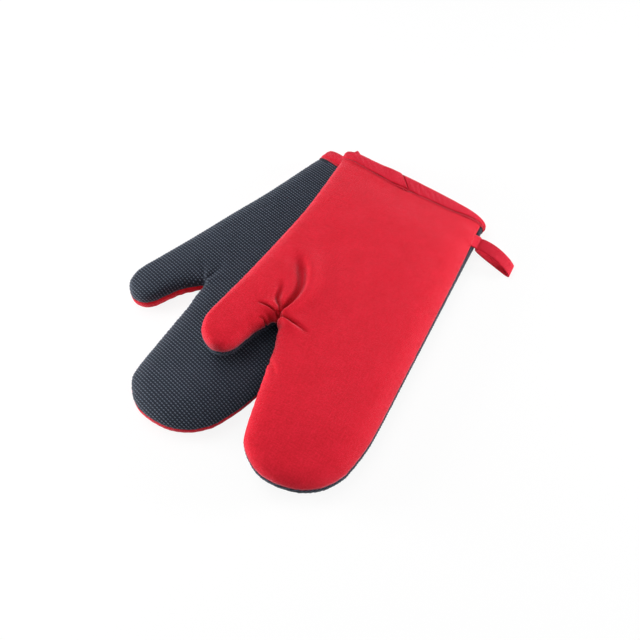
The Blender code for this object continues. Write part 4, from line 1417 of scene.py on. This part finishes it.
class GLOVES_OT_loops(bpy.types.Operator):
    """Adds each glove's tape loop, its stitched edges and its ends in the seam"""

    bl_idname = "gloves.loops"
    bl_label = "Hanging loops"

    def execute(self, context):
        tree = stitch_tree()
        for lay in LAYS.values():
            make_loop(lay, tree)
            make_loop_ends(lay)
        return {"FINISHED"}


class GLOVES_OT_seams(bpy.types.Operator):
    """Adds the stitches that join the two halves of each glove round the hand"""

    bl_idname = "gloves.seams"
    bl_label = "Seams"

    def execute(self, context):
        tree = stitch_tree()
        for lay in LAYS.values():
            make_seam(lay, tree)
        return {"FINISHED"}


class GLOVES_OT_stage(bpy.types.Operator):
    """Adds the pale floor, the soft lights and the camera"""

    bl_idname = "gloves.stage"
    bl_label = "Stage"

    def execute(self, context):
        scene = context.scene
        given = scene.glove_stage
        floor = Finish("floor", "white_floor", {
            "Base Color": (0.93, 0.93, 0.93, 1), "Roughness": 0.9, "Specular IOR Level": 0.1,
        })
        seen = floor.out("ShaderNodeLightPath", None, None, "Is Camera Ray")
        glow = floor.out("ShaderNodeEmission", None, {0: (1, 1, 1, 1), 1: 1.0})
        matt = Value(floor, floor.shader.outputs[0])
        mixed = floor.out("ShaderNodeMixShader", None, {0: seen * 0.88, 1: matt, 2: glow})
        floor.tree.links.new(mixed.socket, floor.tree.nodes["Material Output"].inputs[0])
        size = 4.0
        corners = [(-size, -size, 0), (size, -size, 0), (size, size, 0), (-size, size, 0)]
        ground = new_piece("stage_floor", corners, [(0, 1, 2, 3)], "floor")
        ground.location.z = -0.0004
        for name, place, side, power in (
            ("stage_key", (-0.45, 0.32, 0.95), 0.7, given.key),
            ("stage_fill", (0.2, -0.9, 1.2), 1.2, given.fill),
            ("stage_left", (-1.0, 0.08, 0.20), 0.4, given.left),
            ("stage_right", (1.0, 0.05, 0.17), 0.4, given.right),
        ):
            light = bpy.data.lights.new(name, "AREA")
            light.size, light.energy = side, power
            lamp = link(bpy.data.objects.new(name, light))
            lamp.location = place
            lamp.rotation_euler = Vector(place).to_track_quat("Z", "Y").to_euler()
        scene.world = bpy.data.worlds.new("stage_air")
        scene.world.use_nodes = True
        air = scene.world.node_tree.nodes["Background"].inputs
        air[0].default_value, air[1].default_value = (1, 1, 1, 1), given.air
        camera = bpy.data.cameras.new("stage_camera")
        camera.lens, camera.sensor_width = 47.8125, 36
        scene.camera = link(bpy.data.objects.new("stage_camera", camera))
        scene.camera.location = (-0.00556, -0.42821, 0.61531)
        scene.camera.rotation_euler = (math.radians(34), 0, 0)
        scene.view_settings.view_transform = "Standard"
        return {"FINISHED"}


class GLOVES_PT_panel(bpy.types.Panel):
    """The gloves' sizes, colours and steps"""

    bl_label = "Oven gloves"
    bl_idname = "GLOVES_PT_panel"
    bl_space_type = "VIEW_3D"
    bl_region_type = "UI"
    bl_category = "Gloves"

    def draw(self, context):
        for made in GROUPS:
            box = self.layout.box()
            group = getattr(context.scene, made)
            for name in type(group).__annotations__:
                box.prop(group, name)
        for made in OPERATORS:
            self.layout.operator(made.bl_idname)


GROUPS = {
    "glove_cloth": GloveCloth, "glove_padding": GlovePadding, "glove_pattern": GlovePattern,
    "glove_binding": GloveBinding, "glove_stage": GloveStage,
}
OPERATORS = (
    GLOVES_OT_backs, GLOVES_OT_palms, GLOVES_OT_padding, GLOVES_OT_bindings, GLOVES_OT_loops, GLOVES_OT_seams,
    GLOVES_OT_stage,
)


def register():
    for made in (*GROUPS.values(), *OPERATORS, GLOVES_PT_panel):
        bpy.utils.register_class(made)
    for name, group in GROUPS.items():
        setattr(bpy.types.Scene, name, bpy.props.PointerProperty(type=group))


def unregister():
    for name in GROUPS:
        delattr(bpy.types.Scene, name)
    for made in reversed((*GROUPS.values(), *OPERATORS, GLOVES_PT_panel)):
        bpy.utils.unregister_class(made)


def main():
    register()
    make_finishes()
    bpy.ops.gloves.backs()
    bpy.ops.gloves.palms()
    bpy.ops.gloves.padding()
    bpy.ops.gloves.bindings()
    bpy.ops.gloves.loops()
    bpy.ops.gloves.seams()
    bpy.ops.gloves.stage()


if __name__ == "__main__":
    main()
